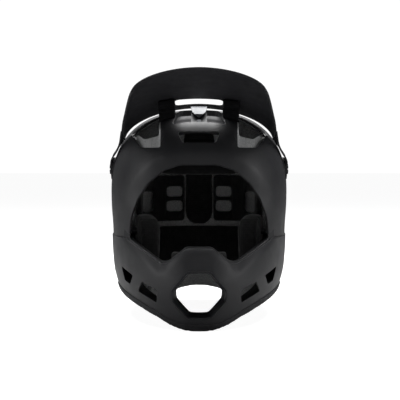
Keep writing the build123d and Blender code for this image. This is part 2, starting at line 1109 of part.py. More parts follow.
def visor_node():
    """Peak with its slot, cross-bar and ears."""
    plate = peak_plate()
    slot_face = flat_face(
        [
            (-slot_half_width, slot_back_y, pivot_z),
            (slot_half_width, slot_back_y, pivot_z),
            (slot_half_width, slot_front_y, pivot_z),
            (-slot_half_width, slot_front_y, pivot_z),
        ]
    )
    slot_face = slot_face.fillet_2d(slot_corner, slot_face.vertices())
    plate = plate - extrude(slot_face, amount=far, dir=(0, 0, 1))
    for side in (1, -1):
        for low, high in zip(ear_sections[:-1], ear_sections[1:]):
            plate = plate + ear_piece(side, low, high)
        disc = rod_x(
            pivot_y,
            pivot_z,
            side * ear_inner_x,
            side * (ear_inner_x + ear_thickness),
            ear_radius,
        )
        bore = rod_x(
            pivot_y, pivot_z, side * middle_y, side * far, stud_radius + pivot_clearance
        )
        plate = plate + disc - bore
    return one_solid(plate)


def arc_band(low_radius, high_radius, back_angle, front_angle, half_width):
    """A band about the peak's pivot axis, between two angles."""
    upward = list(range(arc_steps + 1))
    downward = upward[::-1]
    outline = []
    for radius, order in ((low_radius, upward), (high_radius, downward)):
        for step in order:
            angle = radians(back_angle + (front_angle - back_angle) * step / arc_steps)
            outline.append((pivot_y - radius * sin(angle), pivot_z + radius * cos(angle)))
    return prism_x(outline, -half_width, half_width)


def visor_clip_node(visor):
    """Grey clip on the middle of the cross-bar, with a pointed end."""
    band = arc_band(
        clip_low_radius, clip_high_radius, clip_back_angle, clip_front_angle, clip_half_width
    )
    outline = [
        (clip_half_width, clip_top_z),
        (clip_shoulder_half, clip_shoulder_z),
        (0, clip_tip_z),
    ]
    points = outline + [(-x, z) for x, z in reversed(outline[:-1])]
    band = band & prism_y(points, -far, middle_y)
    return one_solid(band - visor)


def index_block_node():
    """Dark block in the scoop below the clip."""
    band = arc_band(
        block_low_radius, block_high_radius, block_back_angle, block_front_angle, block_half_width
    )
    band = one_solid(band - form_body(scoop_depth))
    return one_solid(band - block_screw(seam))


def block_screw(grow):
    """Screw that holds the index block, set square to the pivot radius."""
    angle = radians(block_screw_angle)
    direction = (0, -sin(angle), cos(angle))
    base = block_high_radius - block_screw_depth - grow
    origin = (0, pivot_y - base * sin(angle), pivot_z + base * cos(angle))
    plane = Plane(origin=origin, x_dir=(1, 0, 0), z_dir=direction)
    length = block_screw_depth + grow
    return extrude(plane * Circle(block_screw_radius + grow), amount=length)


def index_screw_node():
    """The index block's screw with its round head."""
    angle = radians(block_screw_angle)
    direction = (0, -sin(angle), cos(angle))
    base = block_high_radius
    origin = (0, pivot_y - base * sin(angle), pivot_z + base * cos(angle))
    plane = Plane(origin=origin, x_dir=(1, 0, 0), z_dir=direction)
    head = extrude(plane * Circle(block_screw_head), amount=block_screw_head_height)
    return head + block_screw(0)


def bumper_node(visor):
    """Rests between the peak and the crown, one on each side."""
    pieces = []
    for side in (1, -1):
        rest = block(
            sorted((side * bumper_near, side * bumper_far)),
            (bumper_front_y, bumper_back_y),
            (pivot_z, far),
        )
        rest = rest - form_body(-bumper_gap)
        parts = (rest - visor).solids()
        pieces.append(min(parts, key=lambda solid: solid.center().Z))
    return pieces


def pivot_screw_node(side):
    """Hand screw at one of the peak's pivots."""
    base = ear_inner_x + ear_thickness + washer_gap
    head = rod_x(pivot_y, pivot_z, side * base, side * (base + knob_height), knob_radius)
    stud = rod_x(pivot_y, pivot_z, side * stud_end_x, side * base, stud_radius)
    outer = side * (base + knob_height)
    inner = side * (base + knob_height - knob_slot_depth)
    slot = block(
        sorted((inner, outer)),
        (pivot_y - knob_radius, pivot_y + knob_radius),
        (pivot_z - knob_slot_width / 2, pivot_z + knob_slot_width / 2),
    )
    return head + stud - slot


def pivot_washers_node():
    """Washers between the shell's seats and the peak's ears."""
    washers = []
    for side in (1, -1):
        start = side * (ear_seat_x + washer_gap)
        end = side * (ear_inner_x - washer_gap)
        disc = stud_x(pivot_y, pivot_z, start, end, washer_radius)
        hole = stud_x(pivot_y, pivot_z, start, end, washer_bore_radius)
        washers.append(disc - hole)
    return washers


def pivot_nuts_node():
    """Six-sided nuts behind the shell's seats."""
    nuts = []
    for side in (1, -1):
        end = side * (ear_seat_x - ear_seat_depth)
        start = side * (ear_seat_x - ear_seat_depth - nut_thickness)
        plane = Plane(origin=(start, pivot_y, pivot_z), x_dir=(0, 1, 0), z_dir=(1, 0, 0))
        hexagon = RegularPolygon(nut_radius, nut_sides)
        nut = extrude(plane * hexagon, amount=end - start)
        nuts.append(nut - stud_x(pivot_y, pivot_z, start, end, washer_bore_radius))
    return nuts


def build():
    """Every node of the helmet."""
    nodes = {}
    crown = crown_shell_node()
    chin = chin_bar_shell_node()
    shells = (crown, chin)
    nodes["crown_shell"] = crown
    nodes["chin_bar_shell"] = chin
    nodes["chin_liner"] = chin_liner_node()
    sections = crown_liner_nodes()
    nodes.update(sections)
    liners = (nodes["chin_liner"], *sections.values())
    nodes["chin_vent_frame"] = chin_vent_frame_node()
    nodes["eyeport_trim"] = port_trim_node(shells + liners)
    nodes["base_trim"] = base_trim_node(shells + liners + (nodes["chin_vent_frame"],))
    nodes["crown_pad"] = crown_pad_node()
    nodes["side_pad_left"] = side_pad_node(1)
    nodes["side_pad_right"] = side_pad_node(-1)
    nodes["nape_pad"] = nape_pad_node()
    nodes["brow_pad"] = brow_pad_node()
    nodes["chin_pad"] = chin_pad_node()
    nodes["cheek_pad_left"] = cheek_pad_node(1)
    nodes["cheek_pad_right"] = cheek_pad_node(-1)
    nodes["cheek_pad_snaps"] = cheek_snaps(1, 0) + cheek_snaps(-1, 0)
    nodes["strap_left"] = strap_node(tail_strap_points, 1)
    nodes["strap_right"] = strap_node(ring_strap_points, -1)
    nodes["strap_rivets"] = strap_rivets_node()
    nodes["strap_snap"] = strap_snap_node()
    nodes["d_ring_inner"] = d_ring_node(ring_inner_x)
    nodes["d_ring_outer"] = d_ring_node(ring_outer_x)
    visor = visor_node()
    nodes["visor"] = visor
    nodes["visor_bumpers"] = bumper_node(visor)
    nodes["visor_clip"] = visor_clip_node(visor)
    nodes["visor_index_block"] = index_block_node()
    nodes["index_screw"] = index_screw_node()
    nodes["pivot_screw_left"] = pivot_screw_node(1)
    nodes["pivot_screw_right"] = pivot_screw_node(-1)
    nodes["pivot_washers"] = pivot_washers_node()
    nodes["pivot_nuts"] = pivot_nuts_node()
    return nodes


def main():
    """Builds the helmet over its origin and writes one file per node."""
    os.makedirs("parts", exist_ok=True)
    nodes = {}
    for name, shape in build().items():
        solids = shape if isinstance(shape, list) else shape.solids()
        nodes[name] = Compound(list(solids))
    box = Compound(list(nodes.values())).bounding_box()
    shift = Pos(-box.center().X, -box.center().Y, -box.min.Z)
    print("shift", -box.center().X, -box.center().Y, -box.min.Z, "size", box.size)
    print("pivot", pivot_y - box.center().Y, pivot_z - box.min.Z)
    for name, shape in nodes.items():
        export_step(shift * shape, f"parts/{name}.step")


main()
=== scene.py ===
# %% [markdown]
# A downhill bike helmet with a full face chin bar. The frame comes first: it holds every
# piece at its real size, and each visible piece below is built around it in metres.

# %% Load the frame
from math import cos, pi, radians, sin, sqrt

import bpy
import numpy as np
from mathutils import Matrix, Vector


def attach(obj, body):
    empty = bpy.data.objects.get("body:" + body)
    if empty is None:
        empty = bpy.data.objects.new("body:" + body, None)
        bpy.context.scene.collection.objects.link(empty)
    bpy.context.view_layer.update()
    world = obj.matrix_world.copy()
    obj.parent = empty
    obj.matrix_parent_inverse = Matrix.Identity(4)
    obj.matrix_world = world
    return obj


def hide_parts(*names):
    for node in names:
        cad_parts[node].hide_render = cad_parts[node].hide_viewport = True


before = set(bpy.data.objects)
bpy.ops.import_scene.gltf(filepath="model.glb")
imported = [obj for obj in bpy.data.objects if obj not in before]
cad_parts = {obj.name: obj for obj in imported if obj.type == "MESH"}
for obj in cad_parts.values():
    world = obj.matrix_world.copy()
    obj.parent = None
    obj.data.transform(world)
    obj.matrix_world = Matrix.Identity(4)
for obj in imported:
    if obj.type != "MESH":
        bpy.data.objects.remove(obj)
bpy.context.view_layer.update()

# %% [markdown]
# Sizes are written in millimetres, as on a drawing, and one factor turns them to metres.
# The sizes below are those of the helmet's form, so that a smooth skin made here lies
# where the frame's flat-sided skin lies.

MM = 0.001
# the drawing's zero lies this far behind and above the frame's
shift_y = 26.3717
shift_z = 1.6
crown_height = 273.5
middle_y = 5.0
equator = 160.0
dome_width_power = 2.5
dome_length_power = 2.35
rear_power = 2.2
wall = 2.6
liner_depth = 29.0
foam_gap = 0.2
chin_step = 1.2
far = 400.0

# level, half width, front reach, rear reach, fullness of the front
form_rows = [
    (-12.0, 88.6, 157.0, 110.0, 1.85),
    (10.1, 97.7, 168.0, 114.0, 1.85),
    (35.0, 107.7, 176.0, 118.0, 1.85),
    (59.9, 114.7, 178.0, 121.9, 1.85),
    (90.0, 117.0, 171.9, 126.0, 1.85),
    (120.1, 117.3, 158.1, 129.0, 1.95),
    (141.9, 119.0, 145.1, 130.0, 2.05),
    (160.0, 119.4, 135.0, 130.0, 2.15),
    (181.9, 119.4, 135.0, 130.0, 2.15),
]


# %% [markdown]
# One pair of functions says where the helmet's surface is. Below its widest level the
# rows above are blended, and over it the form closes like a dome. An inset moves the
# surface inwards, so the same pair also gives the foam and the pads.

# %% The helmet's form
row_levels = np.array([row[0] for row in form_rows])
row_values = np.array([row[1:] for row in form_rows])
blend_span = 9.0  # each row is blended with those this far above and below
blend_steps = np.linspace(-1, 1, 9)


def at(x, y, z):
    """A place of the drawing, in millimetres, as a place of the frame in metres."""
    return x * MM, (y + shift_y) * MM, (z + shift_z) * MM


def form_row(level, inset):
    """Half width, front reach, rear reach and fullness at one level."""
    levels = np.clip(level + blend_span * blend_steps, row_levels[0], row_levels[-1])
    half, front, rear, power = (
        float(np.interp(levels, row_levels, row_values[:, column]).mean()) for column in range(4)
    )
    if level > equator:
        share = min((level - equator) / (crown_height - equator - inset), 1)
        left = max(1 - share**dome_width_power, 0)
        across = left ** (1 / dome_width_power)
        along = left ** (1 / dome_length_power)
        return (half - inset) * across, (front - inset) * along, (rear - inset) * along, power
    return half - inset, front - inset, rear - inset, power


def powered(value, power):
    """Superellipse coordinate of a sine or cosine."""
    return abs(value) ** (2 / power) * (1 if value > 0 else -1)


def form_point(turn, level, inset):
    """A point of the helmet's surface in metres, at an angle round it and a level."""
    half, front, rear, power = form_row(level, inset)
    rearward = sin(turn) > 0
    fullness = rear_power if rearward else power
    x = half * powered(cos(turn), fullness)
    y = middle_y + (rear if rearward else front) * powered(sin(turn), fullness)
    return at(x, y, level)


# %% [markdown]
# The photograph was taken a little above the middle of the helmet, looking slightly down.
# The lens and the place were worked out from the helmet's width, the eye port and the
# peak's front edge.

# %% Camera
camera_distance = 1270.0
camera_pitch = 2.25
aim_level = 151.0
lens_pixels = 927.0
sensor_width = 36.0
image_side = 400.0

camera_data = bpy.data.cameras.new("camera")
camera = bpy.data.objects.new("camera", camera_data)
bpy.context.scene.collection.objects.link(camera)
bpy.context.scene.camera = camera
camera_data.sensor_width = sensor_width
camera_data.lens = sensor_width * lens_pixels / image_side
camera_data.shift_x = 1 / image_side
camera_data.clip_end = 20
pitch = radians(camera_pitch)
camera.location = at(
    0, -camera_distance * cos(pitch), aim_level + camera_distance * sin(pitch)
)
camera.rotation_euler = (pi / 2 - pitch, 0, 0)
print("lens", round(camera_data.lens, 2), "mm at", [round(v, 3) for v in camera.location])


# %% [markdown]
# A few helpers keep the modelling steps short. Each one works on the active object in the
# way that a modeller would by hand: select, edit, apply.

# %% Helpers for modelling
def pick(*objects):
    """Selects only these objects and makes the first one active."""
    bpy.ops.object.select_all(action="DESELECT")
    for item in objects:
        item.hide_set(False)
        item.select_set(True)
    bpy.context.view_layer.objects.active = objects[0]
    return objects[0]


def primitive(maker, name, **settings):
    """Adds a primitive with nothing else selected."""
    bpy.ops.object.select_all(action="DESELECT")
    maker(**settings)
    piece = bpy.context.active_object
    piece.name = name
    piece.data.name = name
    return piece


def edit(piece):
    """Opens a piece for editing with all of it selected."""
    pick(piece)
    bpy.ops.object.mode_set(mode="EDIT")
    bpy.ops.mesh.select_all(action="SELECT")


def close(outward=False):
    """Ends editing, with the faces turned outwards if asked."""
    if outward:
        bpy.ops.mesh.select_all(action="SELECT")
        bpy.ops.mesh.normals_make_consistent(inside=False)
    bpy.ops.object.mode_set(mode="OBJECT")


def modify(piece, kind, **settings):
    """Adds a modifier, sets it and applies it."""
    pick(piece)
    modifier = piece.modifiers.new(kind.lower(), kind)
    for key, value in settings.items():
        setattr(modifier, key, value)
    bpy.ops.object.modifier_apply(modifier=modifier.name)
    return piece


def tidy_mesh(piece, distance=0.00001, outward=True):
    """Merges doubled corners and turns the faces outwards."""
    edit(piece)
    bpy.ops.mesh.remove_doubles(threshold=distance)
    close(outward)
    return piece


def round_edges(piece, width, segments, degrees):
    """Rounds the edges that are sharper than an angle."""
    return modify(
        piece, "BEVEL", width=width * MM, segments=segments, limit_method="ANGLE",
        angle_limit=radians(degrees),
    )


def smooth(piece, degrees=32):
    """Shades smooth, with edges kept where the surface turns sharply."""
    pick(piece)
    bpy.ops.object.shade_smooth_by_angle(angle=radians(degrees))
    return piece


def place_corners(piece, places):
    """Moves every corner of a primitive to its own place."""
    flat = np.array([tuple(place) for place in places], dtype=np.float32).ravel()
    piece.data.vertices.foreach_set("co", flat)
    piece.data.update()


def corners(piece):
    """The corners of a mesh as an array."""
    flat = np.empty(len(piece.data.vertices) * 3, dtype=np.float32)
    piece.data.vertices.foreach_get("co", flat)
    return flat.reshape(-1, 3)


def carve(piece, cutter, operation="DIFFERENCE"):
    """Cuts, joins or keeps one closed mesh with another and removes the second."""
    modify(piece, "BOOLEAN", operation=operation, solver="EXACT", object=cutter)
    bpy.data.objects.remove(cutter)
    return piece


def copy_of(piece, name):
    """A copy with its own mesh."""
    twin = piece.copy()
    twin.data = piece.data.copy()
    twin.name = name
    bpy.context.scene.collection.objects.link(twin)
    return twin


def node_copy(node, name):
    """A merged copy of a frame node, to be worked on as a new piece."""
    twin = copy_of(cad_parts[node], name)
    twin.parent = None
    twin.matrix_world = Matrix.Identity(4)
    twin.data.materials.clear()
    return tidy_mesh(twin)


def prism(name, points, along, start, end, corner=0.0):
    """A closed bar with the given outline, from start to end along Y, X or Z."""
    piece = primitive(
        bpy.ops.mesh.primitive_circle_add, name, vertices=len(points), fill_type="NGON"
    )
    first_axis, second_axis = {"Y": (0, 2), "X": (1, 2), "Z": (0, 1)}[along]
    lift = "XYZ".index(along)
    places = []
    for first, second in points:
        place = [0, 0, 0]
        place[first_axis], place[second_axis], place[lift] = first, second, start
        places.append(at(*place))
    place_corners(piece, places)
    edit(piece)
    if corner:
        bpy.ops.mesh.bevel(offset=corner * MM, segments=4, affect="VERTICES", profile=0.5)
        bpy.ops.mesh.select_all(action="SELECT")
    step = [0, 0, 0]
    step[lift] = (end - start) * MM
    bpy.ops.mesh.extrude_region_move(TRANSFORM_OT_translate={"value": step})
    close(outward=True)
    return piece


def mirrored(points):
    """Both halves of an outline given for one side."""
    return points + [(-x, z) for x, z in reversed(points)]


# %% [markdown]
# The skin of such a helmet is one curved sheet. A flat grid is wrapped round the form:
# its columns become directions round the helmet and its rows become levels, closer
# together towards the top where the dome turns over.

# %% Wrapping a grid round the form
around = 160
skirt_level = -12.0
low_steps = 46
dome_steps = 42


def skin_levels(inset, bottom):
    """Levels of the rows, bunched towards the top of the dome."""
    low = np.linspace(bottom, equator, low_steps, endpoint=False)
    rise = crown_height - equator - inset
    dome = [equator + rise * sin(pi / 2 * step / dome_steps) for step in range(dome_steps + 1)]
    return list(low) + dome


def sheet_of(name, columns, rows, point):
    """A flat grid laid over a surface that is given point by point."""
    piece = primitive(
        bpy.ops.mesh.primitive_grid_add, name, x_subdivisions=columns, y_subdivisions=rows, size=1
    )
    place_corners(piece, [point(c[0] + 0.5, c[1] + 0.5) for c in corners(piece)])
    return piece


def skin(name, inset, bottom):
    """An open-bottomed sheet on the helmet's form."""
    levels = skin_levels(inset, bottom)
    last = len(levels) - 1

    def point(across, up):
        return form_point(across * 2 * pi, levels[round(up * last)], inset)

    return tidy_mesh(sheet_of(name, around, last, point), outward=False)


def form_solid(name, outer, inner, bottom=skirt_level):
    """A closed wall between two depths, bridged round its bottom edge."""
    outside = skin(name, outer, bottom)
    inside = skin(name + "_inside", inner, bottom)
    edit(inside)
    bpy.ops.mesh.flip_normals()
    close()
    pick(outside, inside)
    bpy.ops.object.join()
    edit(outside)
    bpy.ops.mesh.select_all(action="DESELECT")
    bpy.ops.mesh.select_non_manifold()
    bpy.ops.mesh.bridge_edge_loops()
    close(outward=True)
    return outside


# %% [markdown]
# The openings are cut with bars that have the opening's outline. The outlines are those of
# the frame, and their corners are rounded here, because a moulded edge has no sharp corner.

# %% Outlines of the openings
port_points = [
    (24.2, 200.3), (46.5, 192.9), (66.5, 176.5), (80.5, 156.5), (89.6, 133.6), (93.0, 105.2),
    (46.0, 79.0), (38.0, 80.5), (15.5, 99.0),
]
rim_points = [
    (-173.0, 0.0), (-157.0, 0.0), (-148.7, 5.6), (-137.9, 14.0), (-114.5, 21.7), (-86.8, 27.0),
    (-49.8, 32.2), (-28.2, 35.0), (-0.5, 30.1), (30.3, 14.0), (61.1, 0.0), (104.2, 0.0),
    (135.0, 3.5),
]
nape_arch = [(62.0, 0.0), (48.4, 9.9), (27.9, 18.9), (9.3, 22.0)]
vent_front = [(13.9, 71.5), (34.0, 49.3), (34.0, 36.2), (13.9, 14.5)]
corner_vent = [(99.5, 69.0), (83.0, 61.1), (87.0, 48.3), (94.5, 51.1)]
slot_vent = [(70.6, 55.2), (51.0, 47.6), (51.6, 31.4), (75.7, 42.1)]
brow_vent = [(84.0, 241.0), (51.2, 261.0), (51.2, 236.1), (70.6, 232.0)]
brow_slot = [(21.1, 227.0), (27.0, 241.0)]
exhaust = [(20.0, 190.0), (52.0, 197.2), (52.0, 208.0), (20.0, 208.0)]
port_corner = 3.6
port_back_y = -5.0
port_middle_z = 140.0
arch_corner = 3.0
split_level = 106.0
split_y = 2.0
split_gap = 0.2
# the chin vent's funnel: half width, height and middle level at its front and at its back
vent_front_half, vent_front_height, vent_front_z = 34.0, 57.0, 43.0
vent_back_half, vent_back_height, vent_back_z = 26.5, 43.0, 41.5
vent_front_y = -173.0
vent_lead = 5.0
vent_depth = 44.0
vent_corner = 3.0
vent_wall = 2.4


def both(points):
    """An outline and its mirror image."""
    return [points, [(-x, z) for x, z in points]]


def port_bar(grow=0.0):
    """The eye port as a bar, its outline moved out by some millimetres."""
    bar = prism("port_bar", mirrored(port_points), "Y", -far, port_back_y, port_corner)
    if grow:
        middle_z = (port_middle_z + shift_z) * MM
        spread = corners(bar)
        for point in spread:
            reach = sqrt(point[0] ** 2 + (point[2] - middle_z) ** 2)
            point[0] *= 1 + grow * MM / reach
            point[2] = middle_z + (point[2] - middle_z) * (1 + grow * MM / reach)
        place_corners(bar, spread)
    return bar


def rim_bar(lift=0.0):
    """Everything under the lower rim, seen from the side."""
    line = [(y, z + lift) for y, z in rim_points]
    (front, low), (back, high) = line[0], line[-1]
    front, back = front - far, back + far
    outline = [(front, low), *line, (back, high), (back, -far), (front, -far)]
    return prism("rim_bar", outline, "X", -far, far)


def arch_bar(lift=0.0):
    """The arch over the nape, seen from behind."""
    outline = [(nape_arch[0][0], -far)] + [(x, z + lift) for x, z in nape_arch]
    return prism("arch_bar", mirrored(outline), "Y", middle_y, far, arch_corner)


def chin_space(margin=0.0):
    """The block of space that the chin bar fills."""
    back, high = split_y + margin, split_level + margin
    outline = [(-far, -far), (back, -far), (back, high), (-far, high)]
    return prism("chin_space", outline, "X", -far, far)


def vent_hole(grow=0.0, depth=vent_depth):
    """The chin vent's funnel, wide in front and narrower behind."""
    start, end = vent_front_y - vent_lead, vent_front_y + depth
    bar = prism("vent_hole", mirrored(vent_front), "Y", start, end, vent_corner)
    front_z = (vent_front_z + shift_z) * MM
    back_z = (vent_back_z + shift_z) * MM
    narrower = vent_back_half / vent_front_half
    lower = vent_back_height / vent_front_height
    spread = corners(bar)
    for point in spread:
        rise = point[2] - front_z
        if point[1] > (vent_front_y + shift_y) * MM:
            point[0] *= narrower * (1 + grow / vent_back_half)
            point[2] = back_z + rise * lower * (1 + 2 * grow / vent_back_height)
        else:
            point[0] *= 1 + grow / vent_front_half
            point[2] = front_z + rise * (1 + 2 * grow / vent_front_height)
    place_corners(bar, spread)
    return bar


# %% [markdown]
# ## Finishes
# Every finish below is a small network of nodes. Its patterns have the real size of the
# thing that they stand for, measured in millimetres on the piece itself.

# %% Colour and node helpers
def linear(code):
    """A colour given as on a screen, as the linear values that a shader wants."""
    shares = [int(code[place : place + 2], 16) / 255 for place in (0, 2, 4)]
    bright = [s / 12.92 if s <= 0.04045 else ((s + 0.055) / 1.055) ** 2.4 for s in shares]
    return (*bright, 1.0)


def add(tree, kind, inputs, **settings):
    """Adds one node. An input is either a value or another node's output."""
    node = tree.nodes.new(kind)
    for key, value in settings.items():
        setattr(node, key, value)
    for key, value in inputs.items():
        if isinstance(value, bpy.types.NodeSocket):
            tree.links.new(value, node.inputs[key])
        else:
            node.inputs[key].default_value = value
    return node


def start_finish(name):
    """A new material with its shader, its tree and the piece's own coordinates."""
    material = bpy.data.materials.new(name)
    material.use_nodes = True
    tree = material.node_tree
    shader = tree.nodes["Principled BSDF"]
    place = add(tree, "ShaderNodeTexCoord", {})
    return material, tree, shader, place


def noise(tree, place, size, detail=2.0):
    """Cloudy pattern whose patches are about this many millimetres wide."""
    inputs = {"Vector": place.outputs["Object"], "Scale": 1 / (size * MM), "Detail": detail}
    return add(tree, "ShaderNodeTexNoise", inputs).outputs["Fac"]


def between(tree, factor, low, high):
    """Turns a pattern's middle range into values between two limits."""
    limits = {"From Min": 0.3, "From Max": 0.7, "To Min": low, "To Max": high}
    return add(tree, "ShaderNodeMapRange", {"Value": factor, **limits}).outputs["Result"]


def ramp(tree, factor, first, second, low=0.0, high=1.0):
    """Blends two screen colours between two values of a pattern."""
    node = add(tree, "ShaderNodeValToRGB", {"Fac": factor})
    for element, place, code in zip(node.color_ramp.elements, (low, high), (first, second)):
        element.position = place
        element.color = linear(code)
    return node.outputs["Color"]


def colours(tree, factor, first, second):
    """Blends two colours by a cloudy pattern, whose values crowd round its middle."""
    return ramp(tree, factor, first, second, 0.35, 0.65)


def relief(tree, height, depth, edge=0.0):
    """Raises the surface by a pattern, over edges rounded by some millimetres."""
    inputs = {"Height": height, "Distance": depth * MM, "Strength": 1.0}
    if edge:
        rounded = add(tree, "ShaderNodeBevel", {"Radius": edge * MM}, samples=4)
        inputs["Normal"] = rounded.outputs["Normal"]
    return add(tree, "ShaderNodeBump", inputs).outputs["Normal"]


def plug(tree, shader, colour, rough, normal):
    """Joins the patterns of colour, gloss and relief to a shader."""
    for value, socket in ((colour, "Base Color"), (rough, "Roughness"), (normal, "Normal")):
        tree.links.new(value, shader.inputs[socket])


def moulded(name, dark, light, patch, rough, grain, depth, edge=0.0, shine=0.5):
    """A moulded or painted finish: faint clouds, uneven gloss and a fine grain."""
    material, tree, shader, place = start_finish(name)
    clouds = colours(tree, noise(tree, place, patch, 4.0), dark, light)
    wear = between(tree, noise(tree, place, patch / 3, 3.0), *rough)
    fine = relief(tree, noise(tree, place, grain), depth, edge)
    plug(tree, shader, clouds, wear, fine)
    shader.inputs["Specular IOR Level"].default_value = shine
    return material


# %% [markdown]
# The painted shell is matt black with a soft sheen. The eye sees a faint orange peel in
# the highlights, and edges that catch a thin line of light.

# %% Shell, peak and plastics
# name, two colours, patch size, roughness, grain size and depth, edge radius, gloss
shell_paint = moulded(
    "matt_black_paint", "202023", "272729", 60, (0.42, 0.52), 2.2, 0.02, 0.9, 0.4
)
peak_plastic = moulded(
    "grained_black_plastic", "1d1d20", "232326", 45, (0.5, 0.62), 0.5, 0.03, 0.6, 0.3
)
frame_plastic = moulded(
    "satin_black_plastic", "17181b", "1e1f22", 30, (0.4, 0.52), 0.6, 0.02, 0.5, 0.3
)
trim_rubber = moulded(
    "black_edge_rubber", "232325", "2b2b2d", 25, (0.55, 0.72), 0.35, 0.03, 0.0, 0.3
)
# a near-black copy of the edge rubber for the peak's rests, as painted shade under the peak
shaded_rest_rubber = moulded(
    "shaded_soft_black_rubber", "08080a", "0e0e10", 12, (0.7, 0.85), 0.3, 0.03, 0.0, 0.12
)
clip_plastic = moulded("silver_grey_nylon", "56585c", "6a6c70", 10, (0.36, 0.5), 0.3, 0.02, 0.4)
block_plastic = moulded("black_nylon", "18191c", "222327", 9, (0.4, 0.55), 0.3, 0.03, 0.4)
washer_plastic = moulded("pale_washer_nylon", "b9b7b0", "c9c7c0", 6, (0.35, 0.5), 0.25, 0.02)
snap_plastic = moulded("hard_black_acetal", "141416", "1d1d20", 5, (0.3, 0.45), 0.25, 0.02)
print("moulded finishes", len(bpy.data.materials))


# %% [markdown]
# The impact foam is made of steamed beads. Each bead shows as a cell about 3 mm wide
# with a fine dark groove round it. The same foam is given two tones: the crown's is pale
# grey, as painted light, so it shows as light patches through the vents, and the chin bar's
# is charcoal, as painted shade.

# %% Bead foam
bead_size = 3.2
groove_share = 0.12


def bead_foam(name, dark, light):
    """Foam of pressed beads."""
    material, tree, shader, place = start_finish(name)
    cells = {"Vector": place.outputs["Object"], "Scale": 1 / (bead_size * MM)}
    beads = add(tree, "ShaderNodeTexVoronoi", cells, feature="DISTANCE_TO_EDGE")
    limits = {"Value": beads.outputs["Distance"], "From Min": 0.0, "From Max": groove_share}
    groove = add(tree, "ShaderNodeMapRange", limits).outputs["Result"]
    tone = ramp(tree, groove, dark, light)
    shine = between(tree, noise(tree, place, 8.0), 0.6, 0.8)
    plug(tree, shader, tone, shine, relief(tree, groove, 0.12))
    return material


# a lit and a shaded copy of one foam: painted light in the crown, painted shade in the chin bar
foam = bead_foam("lit_grey_bead_foam", "a4a5a6", "c6c7c7")
shaded_foam = bead_foam("shaded_charcoal_bead_foam", "2a2b2c", "3a3b3c")


# %% [markdown]
# The lining is a knitted cloth: rows of fine loops and a little fuzz at grazing angles.
# The brow pad's cloth is a darker, duller copy of it, as painted shade. The straps are
# woven, with slanting ribs.

# %% Cloth
def waves(tree, place, loop, bend, way):
    """Lines of loops of a real size in millimetres, drawn 2 pi times as wide to show."""
    inputs = {"Vector": place.outputs["Object"], "Scale": 0.05 / (loop * MM), "Distortion": bend}
    node = add(tree, "ShaderNodeTexWave", inputs, bands_direction=way)
    return node.outputs["Fac"]


def knit(name, dark, light, fuzz, gloss):
    """Black knitted lining."""
    material, tree, shader, place = start_finish(name)
    rows = waves(tree, place, 0.5, 1.2, "Z")
    columns = waves(tree, place, 0.4, 0.8, "X")
    crossed = add(tree, "ShaderNodeMath", {0: rows, 1: columns}, operation="MULTIPLY")
    loops = crossed.outputs["Value"]
    tone = ramp(tree, loops, dark, light)
    pile = between(tree, noise(tree, place, 5.0), 0.8, 0.95)
    plug(tree, shader, tone, pile, relief(tree, loops, 0.15))
    shader.inputs["Sheen Weight"].default_value = fuzz
    shader.inputs["Specular IOR Level"].default_value = gloss
    return material


def weave():
    """Black nylon webbing. Its ribs follow the strap's own map, about 0.75 mm apart."""
    material, tree, shader, place = start_finish("black_nylon_webbing")
    inputs = {"Vector": place.outputs["UV"], "Scale": 18.0, "Distortion": 0.6, "Detail": 1.0}
    ribs = add(tree, "ShaderNodeTexWave", inputs, bands_direction="DIAGONAL").outputs["Fac"]
    tone = ramp(tree, ribs, "0e0e0f", "29292b")
    shine = between(tree, noise(tree, place, 4.0), 0.5, 0.7)
    plug(tree, shader, tone, shine, relief(tree, ribs, 0.2))
    return material


pad_cloth = knit("black_knit_lining", "0b0b0c", "1e1e1f", 0.25, 0.5)
# a darker, duller copy of the lining, as painted shade on the brow pad
shaded_brow_cloth = knit("shaded_black_brow_cloth", "050506", "0e0e0f", 0.08, 0.15)
webbing = weave()


# %% [markdown]
# The metal parts are plated steel. Fine scratches run round them and break up the
# highlight.

# %% Metal
def plated(name, dark, light, rough):
    """Plated steel with fine scratches."""
    material, tree, shader, place = start_finish(name)
    inputs = {"Vector": place.outputs["Object"], "Scale": (1.0, 1.0, 12.0)}
    drawn_out = add(tree, "ShaderNodeMapping", inputs).outputs["Vector"]
    inputs = {"Vector": drawn_out, "Scale": 1 / (2.5 * MM), "Detail": 4.0}
    lines = add(tree, "ShaderNodeTexNoise", inputs).outputs["Fac"]
    tone = colours(tree, lines, dark, light)
    plug(tree, shader, tone, between(tree, lines, *rough), relief(tree, lines, 0.01, 0.2))
    shader.inputs["Metallic"].default_value = 1.0
    return material


ring_steel = plated("bright_plated_steel", "9a9c9f", "b4b6b8", (0.2, 0.34))
rivet_steel = plated("black_plated_steel", "3b3c3e", "4b4c4e", (0.34, 0.46))
screw_metal = plated("black_anodised_metal", "2a2b2d", "38393b", (0.32, 0.44))
nut_steel = plated("zinc_plated_steel", "8c8e8c", "a4a6a2", (0.3, 0.42))
print("finishes", len(bpy.data.materials))


# %% [markdown]
# Each finished piece is handed over in the same way: it takes its finish, rides the part of
# the helmet that carries it and stands for the frame's own solids.

# %% Handing a piece over
def dress(piece, body, slot, material, *nodes):
    """Gives a piece its finish, its body and the nodes that it stands for. The slot is not used.
    """
    piece.data.materials.clear()
    piece.data.materials.append(material)
    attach(piece, body)
    if nodes:
        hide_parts(*nodes)
    return piece


def paint_node(node, material):
    """Gives a frame node that is shown as it is its finish."""
    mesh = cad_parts[node].data
    mesh.materials.clear()
    mesh.materials.append(material)


def shade(piece, degrees=32):
    """Smooth shading whose normals follow the large faces beside each cut."""
    smooth(piece, degrees)
    return modify(piece, "WEIGHTED_NORMAL", keep_sharp=True, weight=80)


